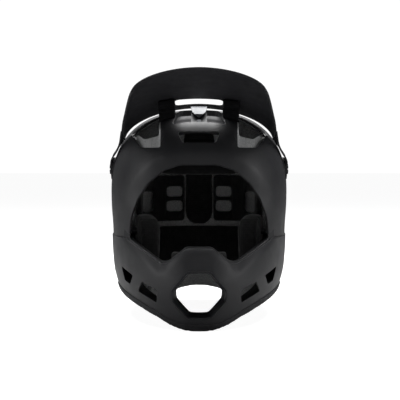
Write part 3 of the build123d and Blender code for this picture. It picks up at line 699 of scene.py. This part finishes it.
def soften(piece, cell, rounds, factor=0.5):
    """Rebuilds a cut piece as an even skin and rounds its edges, as rubber does."""
    modify(piece, "REMESH", mode="VOXEL", voxel_size=cell * MM)
    modify(piece, "SMOOTH", factor=factor, iterations=rounds)
    return smooth(piece, 60)


# %% [markdown]
# ## Outer shell
# The outer shell is a thin moulded wall. It is cut in the order in which a mould maker
# would think of it: the eye port, the lower rim, the step to the chin bar, then the vents.

# %% Cuts and the bevel under the eye port
brow_corner = 2.5
brow_slot_corner = 3.0
exhaust_corner = 4.0
exhaust_front_y = 10.0
side_vent_back_y = -18.0
side_vent_corner = 1.5


def carve_both(piece, outline, start, end, corner):
    """Cuts an opening and its mirror image, from front to back."""
    for points in both(outline):
        carve(piece, prism("opening", points, "Y", start, end, corner))


def cut_head_openings(piece):
    """The openings that go through shell and foam of the crown alike."""
    carve(piece, port_bar())
    carve(piece, rim_bar())
    carve(piece, arch_bar())
    carve_both(piece, brow_vent, -far, 0.0, brow_corner)
    carve(piece, prism("brow_slot", mirrored(brow_slot), "Y", -far, 0.0, brow_slot_corner))
    carve_both(piece, exhaust, exhaust_front_y, far, exhaust_corner)


def cut_chin_openings(piece, vent_room):
    """The openings that go through shell and foam of the chin bar alike."""
    carve(piece, port_bar())
    carve(piece, rim_bar())
    carve(piece, vent_hole(vent_room))
    for vent in (corner_vent, slot_vent):
        carve_both(piece, vent, -far, side_vent_back_y, side_vent_corner)


# the line under the eye port where the chin bar's bevel starts, seen from the front
crease_x = [0.0, 15.9, 37.8, 45.0, 50.0, 94.0, 130.0]
crease_z = [97.5, 96.7, 77.0, 67.4, 68.7, 101.6, 130.0]
bevel_slope = 0.5
bevel_most = 6.5
bridge_half, bridge_low, bridge_high, bridge_depth = 10.5, 68.0, 88.0, 1.6
lower_half, lower_high, lower_depth = 13.0, 9.0, 1.2
panel_edge = 2.0
chin_fade = (-90.0, -50.0)


def ease(value, low, high):
    """Rises smoothly from 0 to 1 between two values."""
    share = np.clip((value - low) / (high - low), 0, 1)
    return share * share * (3 - 2 * share)


def drawn(piece):
    """The corners of a piece, and their x, y and z as on the drawing."""
    places = corners(piece)
    x, y, z = places.T / MM
    return places, x, y - shift_y, z - shift_z


def press(piece):
    """Presses the chin bar's bevel and its two shallow middle panels into a piece."""
    places, x, y, z = drawn(piece)
    x = abs(x)
    over = np.clip(z - np.interp(x, crease_x, crease_z), 0, None)
    bevel = np.minimum(over * bevel_slope, bevel_most)
    bridge = bridge_depth * (1 - ease(x, bridge_half, bridge_half + panel_edge))
    bridge *= ease(z, bridge_low, bridge_low + panel_edge)
    bridge *= 1 - ease(z, bridge_high, bridge_high + panel_edge)
    lower = lower_depth * (1 - ease(x, lower_half, lower_half + panel_edge))
    lower *= 1 - ease(z, lower_high, lower_high + panel_edge)
    places[:, 1] += (bevel + bridge + lower) * (1 - ease(y, *chin_fade)) * MM
    place_corners(piece, places)


flange_width = 15.0
flange_depth = 4.5
ramp_low = 219.0
ramp_high = 234.0
ramp_depth = 9.0
ramp_near = (46.0, 49.5)
ramp_edge_x, ramp_edge_z, ramp_edge_slope = 74.0, 220.6, 0.85
ramp_edge_fade = (-3.0, 0.5)
ramp_top_fade = (238.0, 248.0)
flange_fade = (-45.0, -15.0)
skin_fade = (0.80, 0.92)
levels_known = np.arange(skirt_level, 273.0)
rows_known = np.array([form_row(level, 0) for level in levels_known])


def skin_share(x, y, z):
    """How near a point is to the outer surface: 1 on it, 0 on the helmet's axis."""
    half, front, rear, power = (np.interp(z, levels_known, column) for column in rows_known.T)
    rearward = y > middle_y
    power = np.where(rearward, rear_power, power)
    reach = np.where(rearward, rear, front)
    total = (abs(x) / half) ** power + (abs(y - middle_y) / reach) ** power
    return total ** (1 / power)


def from_port(x, z):
    """Distance from the eye port's outline, seen from the front."""
    line = np.array(mirrored(port_points))
    nearest = np.full(len(x), far)
    for start, end in zip(line, np.roll(line, -1, axis=0)):
        along = end - start
        share = ((x - start[0]) * along[0] + (z - start[1]) * along[1]) / (along @ along)
        share = np.clip(share, 0, 1)
        gap = np.hypot(x - start[0] - share * along[0], z - start[1] - share * along[1])
        nearest = np.minimum(nearest, gap)
    return nearest


def dish(piece):
    """Presses the flange round the eye port and the ramps of the brow vents."""
    places, x, y, z = drawn(piece)
    outer = ease(skin_share(x, y, z), *skin_fade)
    front = 1 - ease(y, *flange_fade)
    inward = flange_depth * np.clip(1 - from_port(x, z) / flange_width, 0, 1) * outer * front
    reach = np.hypot(x, y - middle_y)
    scale = 1 - inward / np.maximum(reach, 1)
    side = abs(x)
    edge = ramp_edge_x + ramp_edge_slope * (z - ramp_edge_z)
    across = ease(side, *ramp_near) * (1 - ease(side - edge, *ramp_edge_fade))
    rise = np.clip((z - ramp_low) / (ramp_high - ramp_low), 0, 1)
    rise *= 1 - ease(z, *ramp_top_fade)
    places[:, 0] = x * scale * MM
    moved = middle_y + (y - middle_y) * scale + ramp_depth * across * rise * outer * front
    places[:, 1] = (moved + shift_y) * MM
    place_corners(piece, places)


scoop = [(-24.5, -16.0), (24.5, -16.0), (34.0, -84.0), (-34.0, -84.0)]
scoop_depth = 7.5
scoop_middle_y = -50.0
scoop_low, scoop_high = 222.0, 330.0
scoop_corner = 5.0
scoop_over = 2.0
tub_inset = 0.05
pivot_y = -12.0
pivot_z = 193.5
seat_x = 115.8
seat_radius = 15.5
stud_radius = 2.9
bore_play = 0.06
inside_x, outside_x = 90.0, 140.0


def rod(name, y, z, start, end, radius, sides=48):
    """A round bar along X with closed ends."""
    piece = primitive(
        bpy.ops.mesh.primitive_cylinder_add,
        name,
        vertices=sides,
        radius=radius * MM,
        depth=abs(end - start) * MM,
        location=at((start + end) / 2, y, z),
        rotation=(0, pi / 2, 0),
    )
    bpy.ops.object.transform_apply(location=True, rotation=True, scale=True)
    return piece


def pivot_rod(name, side, start, end, radius, sides=48):
    """A round bar on the peak's pivot line, on one side of the helmet."""
    return rod(name, pivot_y, pivot_z, side * start, side * end, radius, sides)


def scoop_prism(grow=0.0):
    """The scoop seen from above, moved out by some millimetres."""
    outline = [
        (x + grow * (1 if x > 0 else -1), y + grow * (1 if y > scoop_middle_y else -1))
        for x, y in scoop
    ]
    return prism("scoop", outline, "Z", scoop_low, scoop_high, scoop_corner)


# %% [markdown]
# The crown's shell takes the head's openings, then the scoop, whose tub is joined in, and
# last a flat seat with a bore for each hand screw. The mouth of each brow vent is wider
# than the hole in the foam, so a ramp of foam shows.

# %% Crown shell
vent_mouth = [(88.0, 237.5), (50.0, 262.0), (48.5, 221.0), (73.5, 221.0)]
seat_depth = 5.0
seat_lap = 0.4

crown = form_solid("crown_shell_skin", 0, wall)
cut_head_openings(crown)
carve_both(crown, vent_mouth, -far, 0.0, brow_corner)
carve(crown, chin_space())
carve(crown, scoop_prism())
tub = form_solid("scoop_tub", tub_inset, scoop_depth + wall)
carve(tub, scoop_prism(wall), "INTERSECT")
hollow = form_solid("scoop_hollow", -scoop_over, scoop_depth)
carve(hollow, scoop_prism(), "INTERSECT")
carve(tub, hollow)
carve(crown, tub, "UNION")
for side in (1, -1):
    carve(crown, pivot_rod("seat_space", side, seat_x, outside_x, seat_radius))
    disc = pivot_rod("seat", side, seat_x - seat_depth, seat_x, seat_radius + seat_lap)
    carve(crown, disc, "UNION")
    carve(crown, pivot_rod("seat_bore", side, inside_x, outside_x, stud_radius + bore_play))
dish(crown)
shade(crown)
dress(crown, "helmet", "shell_paint", shell_paint, "crown_shell")
print("crown shell", len(crown.data.polygons), "faces")

# %% [markdown]
# The chin bar's shell laps over the side of the crown's shell, so it stands out by a small
# step. The chin vent's surround takes a little room in it.

# %% Chin bar shell
chin = form_solid("chin_bar_skin", -chin_step, wall)
carve(chin, chin_space(-split_gap), "INTERSECT")
cut_chin_openings(chin, vent_wall)
press(chin)
shade(chin)
dress(chin, "helmet", "shell_paint", shell_paint, "chin_bar_shell")
print("chin bar shell", len(chin.data.polygons), "faces")

# %% [markdown]
# ## Foam
# The foam fills the shell from just under the wall to the lining, and has the same
# openings. It comes in sections with fine seams between them.

# %% Crown foam
nut_pocket_radius = 7.2
nut_pocket_play = 0.4
foam_seat_x = 110.6
stud_end_x = 106.0
crown_foam = form_solid("crown_foam", wall + foam_gap, liner_depth)
cut_head_openings(crown_foam)
carve(crown_foam, chin_space())
scoop_space = form_solid("scoop_space", -scoop_over, scoop_depth + wall + foam_gap)
carve(scoop_space, scoop_prism(wall + foam_gap), "INTERSECT")
carve(crown_foam, scoop_space)
for side in (1, -1):
    seat = pivot_rod("seat_space", side, foam_seat_x, outside_x, seat_radius + foam_gap)
    carve(crown_foam, seat)
    pocket_x = stud_end_x - nut_pocket_play
    carve(crown_foam, pivot_rod("nut_pocket", side, pocket_x, outside_x, nut_pocket_radius))

dish(crown_foam)
section_low, section_high = -50.0, 350.0
# the sides and the ends of each section, seen from above
sections = {
    "front": ((-59.8, 59.8), (-far, 29.8)),
    "rear": ((-59.8, 59.8), (30.0, far)),
    "left": ((60.0, far), (-far, far)),
    "right": ((-far, -60.0), (-far, far)),
}
for label, ((low_x, high_x), (low_y, high_y)) in sections.items():
    section = copy_of(crown_foam, "crown_foam_" + label)
    outline = [(low_x, low_y), (high_x, low_y), (high_x, high_y), (low_x, high_y)]
    carve(section, prism("section", outline, "Z", section_low, section_high), "INTERSECT")
    shade(section)
    # the crown's foam takes the pale copy, painted light
    dress(section, "helmet", "liner_foam", foam, "crown_liner_" + label)
    print("crown foam", label, len(section.data.polygons), "faces")
bpy.data.objects.remove(crown_foam)

# %% [markdown]
# The chin bar's foam is one piece with the same openings as its shell.

# %% Chin bar foam
chin_foam = form_solid("chin_bar_foam", wall + foam_gap, liner_depth)
carve(chin_foam, chin_space(-split_gap), "INTERSECT")
cut_chin_openings(chin_foam, vent_wall + foam_gap)
press(chin_foam)
shade(chin_foam)
# the chin bar's foam takes the charcoal copy, painted shade
dress(chin_foam, "helmet", "liner_foam", shaded_foam, "chin_liner")
print("chin bar foam", len(chin_foam.data.polygons), "faces")

# %% [markdown]
# ## Edges
# A rolled rubber edge covers the cut rim of shell and foam. It is a band on the form that
# is rebuilt as an even skin and relaxed until its section is round.

# %% Edge trims and the vent's surround
trim_proud = 1.3
trim_cover = 7.0
trim_lip = 1.6
trim_cell = 0.9
trim_rounds = 8
rim_cover = 8.0
surround_proud = 0.4
surround_depth = 50.0
surround_cell = 0.7
surround_rounds = 3


def trim_band(name):
    """A band on the form that stands a little proud of both shells."""
    return form_solid(name, -(chin_step + trim_proud), wall + foam_gap)


trim = trim_band("eyeport_edge")
carve(trim, port_bar(trim_cover), "INTERSECT")
carve(trim, port_bar(-trim_lip))
press(trim)
dish(trim)
soften(trim, trim_cell, trim_rounds)
dress(trim, "helmet", "trim_rubber", trim_rubber, "eyeport_trim")

base = trim_band("base_edge")
band = rim_bar(rim_cover)
carve(band, arch_bar(rim_cover), "UNION")
carve(base, band, "INTERSECT")
carve(base, rim_bar(-trim_lip))
carve(base, arch_bar(-trim_lip))
press(base)
soften(base, trim_cell, trim_rounds)
dress(base, "helmet", "trim_rubber", trim_rubber, "base_trim")

surround = vent_hole(vent_wall)
surround.name = "chin_vent_surround"
carve(surround, vent_hole(depth=surround_depth))
shape = form_solid("shape", -chin_step - surround_proud, liner_depth)
carve(surround, shape, "INTERSECT")
soften(surround, surround_cell, surround_rounds)
dress(surround, "helmet", "vent_frame_plastic", frame_plastic, "chin_vent_frame")
print("edges", len(trim.data.polygons), len(base.data.polygons), len(surround.data.polygons))

# %% [markdown]
# ## Peak
# The peak is one arched sheet. Its width, its side edge and its middle are read off along
# its length and joined by smooth lines, then the sheet is given its thickness.

# %% Peak
peak_wall = 2.4
peak_power = 1.88
peak_back_y = -37.0
peak_front_y = -187.0
peak_half = 102.0
peak_side_z = 285.0
peak_top_z = 313.0
peak_drop = 60.0
nose_depth = 15.0
peak_along = 56
peak_across = 72
ear_inner_x = 116.3
ear_thickness = 2.0
ear_radius = 14.0
peak_slot = [(-31.0, -49.0), (31.0, -49.0), (31.0, -78.0), (-31.0, -78.0)]
peak_slot_low = 190.0
peak_slot_corner = 6.0
# along, half width, fall of the side edge, fall of the middle
peak_stations = np.array(
    [
        (0.0, 0.98, 0.883, 0.612),
        (0.087, 1.0, 0.783, 0.558),
        (0.167, 0.985, 0.633, 0.513),
        (0.39, 0.92, 0.317, 0.373),
        (0.62, 0.865, 0.13, 0.23),
        (0.82, 0.822, 0.03, 0.108),
        (1.0, 0.785, 0.0, 0.0),
    ]
)
# back and front edge of an ear from the pivot up to the peak: x, y and z
ear_edges = np.array(
    [
        (116.3, 2.0, 193.5, 116.3, -26.0, 193.5),
        (116.3, -3.5, 209.4, 116.3, -26.5, 205.5),
        (110.6, -18.0, 218.0, 105.4, -42.0, 222.0),
        (98.6, -36.0, 232.0, 100.4, -56.0, 243.0),
    ]
)


def glide(value, known, values):
    """A smooth line through known points."""
    slopes = np.gradient(values, known)
    left = int(np.clip(np.searchsorted(known, value) - 1, 0, len(known) - 2))
    span = known[left + 1] - known[left]
    share = (value - known[left]) / span
    back = 1 - share
    return (
        (1 + 2 * share) * back**2 * values[left]
        + share * back**2 * span * slopes[left]
        + share**2 * (3 - 2 * share) * values[left + 1]
        - share**2 * back * span * slopes[left + 1]
    )


def peak_section(along):
    """Half width, side edge and middle of the peak at a share of its length."""
    share, *columns = peak_stations.T
    half, side, top = (glide(along, share, column) for column in columns)
    return peak_half * half, peak_side_z - peak_drop * side, peak_top_z - peak_drop * top


def peak_point(along, across):
    """A point of the peak's upper surface in metres."""
    half, low, high = peak_section(along)
    turn = pi * across
    x = half * powered(cos(turn), peak_power)
    z = low + (high - low) * abs(sin(turn)) ** (2 / peak_power)
    y = peak_back_y + (peak_front_y - peak_back_y) * along + nose_depth * along**3 * cos(turn) ** 2
    return at(x, y, z)


def thicken(piece, thickness, offset):
    """Gives a sheet its thickness and turns its faces outwards."""
    modify(piece, "SOLIDIFY", thickness=thickness * MM, offset=offset, use_even_offset=True)
    return tidy_mesh(piece)


def ear_sheet(side):
    """The ear of one side, from the pivot up to the peak."""
    steps = np.arange(len(ear_edges), dtype=float)

    def point(across, along):
        row = [glide(along * (len(ear_edges) - 1), steps, column) for column in ear_edges.T]
        x, y, z = (row[k] + (row[k + 3] - row[k]) * across for k in range(3))
        return at(side * (x + ear_thickness / 2), y, z)

    return thicken(sheet_of("ear", 10, 40, point), ear_thickness, 0.0)


peak = sheet_of("peak_plate", peak_across, peak_along, lambda a, b: peak_point(b, a))
thicken(peak, peak_wall, -1.0)
lowest = min(corners(peak)[:, 2])
carve(peak, prism("peak_slot", peak_slot, "Z", peak_slot_low, far, peak_slot_corner))
ear_outer_x = ear_inner_x + ear_thickness
for side in (1, -1):
    carve(peak, ear_sheet(side), "UNION")
    carve(peak, pivot_rod("ear_disc", side, ear_inner_x, ear_outer_x, ear_radius), "UNION")
    carve(peak, pivot_rod("ear_bore", side, inside_x, outside_x, stud_radius + bore_play))
shade(peak, 40)
dress(peak, "peak", "peak_plastic", peak_plastic, "visor")
high_point = max(corners(peak)[:, 2])
print("peak", len(peak.data.polygons), "faces, from", round(lowest, 4), "to", round(high_point, 4))


# %% [markdown]
# The rests, the clip and the index block sit between the peak and the crown. Each rest
# gets a wing that lies along the peak's underside.

# %% Rests, clip and index block
def edged(node, name, width, segments=3, degrees=35):
    """A frame node's shape with rounded edges."""
    return shade(round_edges(node_copy(node, name), width, segments, degrees), degrees)


rest_near = 31.0
rest_far = 52.0
rest_front = -88.0
rest_back = -46.0
rest_top = 2.0
rest_bottom = 9.5
rest_taper = 2.0
rest_cell = 1.0
rest_rounds = 6


def rest_wing(side):
    """The part of a rest that lies along the peak's underside."""
    def point(across, along):
        x = rest_near + (rest_far - rest_near) * across
        y = rest_back + (rest_front - rest_back) * along
        half, low, high = peak_section((y - peak_back_y) / (peak_front_y - peak_back_y))
        turn = (x / half) ** (peak_power / 2)
        z = low + (high - low) * (1 - turn**2) ** (1 / peak_power)
        return at(side * x, y, z - rest_top - rest_taper * along)

    wing = sheet_of("rest_wing", 8, 14, point)
    edit(wing)
    drop = (0, 0, (rest_top - rest_bottom) * MM)
    bpy.ops.mesh.extrude_region_move(TRANSFORM_OT_translate={"value": drop})
    close()
    return tidy_mesh(wing)


rests = node_copy("visor_bumpers", "peak_rests")
carve(rests, rest_wing(1), "UNION")
carve(rests, rest_wing(-1), "UNION")
soften(rests, rest_cell, rest_rounds)
# the rests take the near-black rubber: painted shade between the peak and the crown
dress(rests, "peak", "trim_rubber", shaded_rest_rubber, "visor_bumpers")
clip = edged("visor_clip", "peak_clip", width=0.7)
dress(clip, "peak", "clip_plastic", clip_plastic, "visor_clip")
index_block = edged("visor_index_block", "index_block", width=0.8)
dress(index_block, "helmet", "block_plastic", block_plastic, "visor_index_block")
print("rests", len(rests.data.polygons), "faces, clip", len(clip.data.polygons), "faces")

# %% [markdown]
# Each hand screw has a low round head with finger notches and a coin slot. The small
# metal and plastic parts that stay as the frame has them only take a finish.

# %% Hand screws
head_play = 0.05
stud_lap = 0.5
knob_base = ear_inner_x + ear_thickness + head_play
knob_height = 2.2
knob_radius = 6.9
head_bevel = 0.5
notches = 12
notch_radius = 0.95
notch_out = 0.5
coin_half_length = 8.0
coin_half_width = 0.7
coin_depth = 1.0
overrun = 1.0
knob_top = knob_base + knob_height
coin = [
    (pivot_y + along * coin_half_length, pivot_z + across * coin_half_width)
    for along, across in ((-1, -1), (1, -1), (1, 1), (-1, 1))
]
for side, label in ((1, "left"), (-1, "right")):
    head = pivot_rod("hand_screw_" + label, side, knob_base, knob_top, knob_radius, 72)
    round_edges(head, head_bevel, 3, 40)
    for notch in range(notches):
        turn = 2 * pi * notch / notches
        y = pivot_y + (knob_radius + notch_out) * cos(turn)
        z = pivot_z + (knob_radius + notch_out) * sin(turn)
        start, end = side * (knob_base - overrun), side * (knob_top + overrun)
        carve(head, rod("notch", y, z, start, end, notch_radius, 16))
    start, end = side * (knob_top - coin_depth), side * (knob_top + overrun)
    carve(head, prism("coin_slot", coin, "X", start, end))
    stud = pivot_rod("stud", side, stud_end_x, knob_base + stud_lap, stud_radius, 32)
    carve(head, stud, "UNION")
    shade(head, 35)
    dress(head, label + "_hand_screw", "screw_metal", screw_metal, "pivot_screw_" + label)

for node, material in (
    ("index_screw", screw_metal),
    ("pivot_washers", washer_plastic),
    ("pivot_nuts", nut_steel),
    ("strap_rivets", rivet_steel),
    ("strap_snap", snap_plastic),
    ("cheek_pad_snaps", snap_plastic),
):
    paint_node(node, material)
print("hand screws", len(head.data.polygons), "faces each")


# %% [markdown]
# ## Lining
# The pads are cut to the inside of the foam and then filled: a little air pressure swells
# each one until its edges round over.

# %% Pads
pad_gap = 0.3
pad_thickness = 8.0
chin_pad_thickness = 5.0
pad_corner = 4.0
window_corner = 3.0
spine_front_y = -62.0
brow_back_y = -62.2
side_front_y = 14.0
swell_frames = 20
swell_pressure = 4.0


def pad_solid(name, thickness, *bars):
    """A pad of even thickness on the foam, kept inside its outline."""
    start = liner_depth + pad_gap
    piece = form_solid(name, start, start + thickness)
    for bar, operation in bars:
        carve(piece, bar, operation)
    return piece


def swell(piece, cell, most):
    """Fills a pad softly. No corner moves further than a given number of millimetres."""
    modify(piece, "REMESH", mode="VOXEL", voxel_size=cell * MM)
    modify(piece, "SMOOTH", factor=0.5, iterations=4)
    start = corners(piece)
    cloth = piece.modifiers.new("cloth", "CLOTH")
    cloth.settings.quality = 4
    cloth.settings.mass = 0.2
    cloth.settings.tension_stiffness = 12
    cloth.settings.compression_stiffness = 12
    cloth.settings.bending_stiffness = 0.4
    cloth.settings.use_pressure = True
    cloth.settings.uniform_pressure_force = swell_pressure
    cloth.settings.effector_weights.gravity = 0.0
    cloth.point_cache.frame_start = 1
    cloth.point_cache.frame_end = swell_frames
    for step in range(1, swell_frames + 1):
        bpy.context.scene.frame_set(step)
    pick(piece)
    bpy.ops.object.modifier_apply(modifier=cloth.name)
    bpy.context.scene.frame_set(1)
    moved = corners(piece) - start
    moved -= moved.mean(axis=0)
    length = np.linalg.norm(moved, axis=1, keepdims=True)
    moved *= np.minimum(1, most * MM / np.maximum(length, 1e-9))
    place_corners(piece, start + moved)
    modify(piece, "SUBSURF", levels=1)
    print(piece.name, "swelled by", round(float(length.max()) / MM, 2), "mm, kept to", most)
    return smooth(piece, 80)


def frontal(name, side, near, away, low, high, start, end, corner):
    """A four-sided bar, seen from the front."""
    outline = [(side * near, low), (side * away, low), (side * away, high), (side * near, high)]
    return prism(name, outline, "Y", start, end, corner)


def window(side, near, away, low, high):
    """A window of a side pad, as a cut."""
    bar = frontal("window", side, near, away, low, high, 0.0, far, window_corner)
    return bar, "DIFFERENCE"


def panel(side, near, away, low, high, start, end):
    """The outline of a pad, as a cut that keeps what is inside."""
    bar = frontal("panel", side, near, away, low, high, start, end, pad_corner)
    return bar, "INTERSECT"


def finish_pad(piece, cell, most, fill, node, cloth=pad_cloth):
    """Swells a pad from cells of some size, by some millimetres at most, and hands it over."""
    swell(piece, cell, most)
    dress(piece, "helmet", "pad_fabric", cloth, node)


spine = [(20.0, 273.5), (20.0, 131.0), (18.8, 123.0), (14.4, 116.2), (7.6, 112.2)]
spine_bar = prism("spine", mirrored(spine), "Y", spine_front_y, far)
crown_pad = pad_solid("crown_pad_cloth", pad_thickness, (spine_bar, "INTERSECT"))
finish_pad(crown_pad, 2.2, 1.0, 0.6, "crown_pad")

for side, label in ((1, "left"), (-1, "right")):
    pad = pad_solid(
        "side_pad_cloth_" + label,
        pad_thickness,
        panel(side, 21.0, 86.0, 117.0, 184.0, side_front_y, far),
        window(side, 24.5, 47.0, 131.0, 146.5),
        window(side, 24.5, 47.0, 152.5, 167.5),
        window(side, 67.0, 80.0, 131.0, 161.0),
    )
    finish_pad(pad, 1.8, 0.8, 0.6, "side_pad_" + label)

# place, thickness, half width, lowest, highest, front, back, cell, most, fullness, cloth
for place, thickness, half, low, high, start, end, cell, most, fill, cloth in (
    ("nape", pad_thickness, 62.0, 56.0, 110.5, middle_y, far, 2.4, 1.0, 0.6, pad_cloth),
    # the brow pad takes the darker copy of the lining, painted shade
    ("brow", pad_thickness, 48.0, 187.0, 226.0, -far, brow_back_y, 2.2, 1.0, 0.6, shaded_brow_cloth),
    ("chin", chin_pad_thickness, 34.0, 76.0, 92.0, -far, 0.0, 1.6, 0.6, 0.5, pad_cloth),
):
    outline = panel(1, -half, half, low, high, start, end)
    pad = pad_solid(place + "_pad_cloth", thickness, outline)
    finish_pad(pad, cell, most, fill, place + "_pad", cloth)

for label in ("left", "right"):
    cheek = node_copy("cheek_pad_" + label, "cheek_cushion_" + label)
    finish_pad(cheek, 2.6, 1.0, 0.7, "cheek_pad_" + label)


# %% [markdown]
# ## Straps
# Each strap is a ribbon of webbing 22 mm wide laid along a smooth line seen from the
# front. One carries the two rings, the other is folded back to its keeper.

# %% Straps and rings
strap_front = 4.0
strap_back = 26.0
strap_thickness = 1.5
strap_edge = 0.35
ring_edge = 0.45
# the straps seen from the front, from their rivets down, round and up again
ring_line = np.array(
    [(84.8, 104.0), (84.8, 92.0), (82.5, 78.0), (77.0, 66.0), (74.2, 58.0), (73.6, 50.5),
     (68.9, 44.4), (64.2, 50.5), (65.8, 57.0), (70.4, 62.6), (75.1, 67.2), (78.4, 73.4)]
)
tail_line = np.array(
    [(84.8, 104.0), (84.8, 92.0), (81.0, 76.0), (75.0, 60.0), (70.4, 47.0), (68.2, 41.0),
     (64.9, 37.6), (62.0, 41.6), (66.4, 48.0), (72.4, 61.0), (78.4, 77.0)]
)


def bent_line(points, share):
    """A point at a share of the way along a smooth bent line, in millimetres."""
    steps = np.linalg.norm(np.diff(points, axis=0), axis=1)
    known = np.concatenate([[0], np.cumsum(steps)])
    value = share * known[-1]
    return [glide(value, known, points[:, column]) for column in range(2)]


def ribbon(name, points, side):
    """A strap laid along a line, with its length."""
    def point(along, across):
        x, z = bent_line(points, along)
        y = strap_front + (strap_back - strap_front) * across
        return at(side * x, y, z)

    piece = sheet_of(name, 90, 6, point)
    thicken(piece, strap_thickness, 0.0)
    round_edges(piece, strap_edge, 2, 60)
    trail = np.array([bent_line(points, step / 400) for step in range(401)])
    length = float(np.linalg.norm(np.diff(trail, axis=0), axis=1).sum())
    return smooth(piece, 50), length


ring_strap, ring_length = ribbon("ring_strap_webbing", ring_line, -1)
tail_strap, tail_length = ribbon("tail_strap_webbing", tail_line, 1)
for strap, length, node in (
    (ring_strap, ring_length, "strap_right"),
    (tail_strap, tail_length, "strap_left"),
):
    dress(strap, "helmet", "strap_webbing", webbing, node)
for node, body in (("d_ring_inner", "inner_buckle_ring"), ("d_ring_outer", "outer_buckle_ring")):
    loop = edged(node, node.replace("d_ring", "buckle_ring"), ring_edge)
    dress(loop, body, "ring_steel", ring_steel, node)
print("straps", round(ring_length, 1), "mm and", round(tail_length, 1), "mm long")


# %% [markdown]
# ## Light and floor
# A plain studio: one large soft light overhead, a weaker one at each side, a faint one in
# front and a white room. The floor looks white to the camera and keeps a faint shadow.

# %% Light and floor
def soft_light(name, place, aim, size, power):
    """A square soft light, turned to a point."""
    bpy.ops.object.select_all(action="DESELECT")
    bpy.ops.object.light_add(type="AREA", location=place)
    light = bpy.context.active_object
    light.name = name
    light.data.shape = "SQUARE"
    light.data.size = size
    light.data.energy = power
    light.rotation_euler = (Vector(aim) - Vector(place)).to_track_quat("-Z", "Y").to_euler()


bpy.context.scene.view_settings.view_transform = "Standard"
aim = (0.0, 0.0, 0.16)
# name, place, size in metres and power in watts
for name, place, size, power in (
    ("overhead_light", (0.0, 0.35, 1.45), 1.6, 68.0),
    ("left_light", (1.6, -0.55, 0.45), 0.9, 7.0),
    ("right_light", (-1.6, -0.55, 0.45), 0.9, 7.0),
    ("front_light", (0.0, -2.6, 0.5), 1.2, 1.5),
):
    soft_light(name, place, aim, size, power)

world = bpy.data.worlds.new("room")
bpy.context.scene.world = world
world.use_nodes = True
room = world.node_tree
room_light = room.nodes["Background"]
room_light.inputs["Color"].default_value = linear("e6e8ea")
room_light.inputs["Strength"].default_value = 0.09
backdrop = add(room, "ShaderNodeBackground", {"Color": (1, 1, 1, 1), "Strength": 1.05})
path = add(room, "ShaderNodeLightPath", {})
mix = add(room, "ShaderNodeMixShader", {"Fac": path.outputs["Is Camera Ray"]})
room.links.new(room_light.outputs[0], mix.inputs[1])
room.links.new(backdrop.outputs[0], mix.inputs[2])
room.links.new(mix.outputs[0], room.nodes["World Output"].inputs["Surface"])

ground = primitive(bpy.ops.mesh.primitive_plane_add, "floor", size=40)
paper, paper_tree, paper_shader, paper_place = start_finish("white_studio_paper")
paper_tone = colours(paper_tree, noise(paper_tree, paper_place, 1.5), "9a9a9a", "a4a4a4")
paper_tree.links.new(paper_tone, paper_shader.inputs["Base Color"])
paper_shader.inputs["Roughness"].default_value = 0.9
glow_path = add(paper_tree, "ShaderNodeLightPath", {})
inputs = {0: glow_path.outputs["Is Camera Ray"], 1: 0.93}
glow = add(paper_tree, "ShaderNodeMath", inputs, operation="MULTIPLY").outputs["Value"]
paper_shader.inputs["Emission Color"].default_value = (1, 1, 1, 1)
paper_tree.links.new(glow, paper_shader.inputs["Emission Strength"])
ground.data.materials.append(paper)
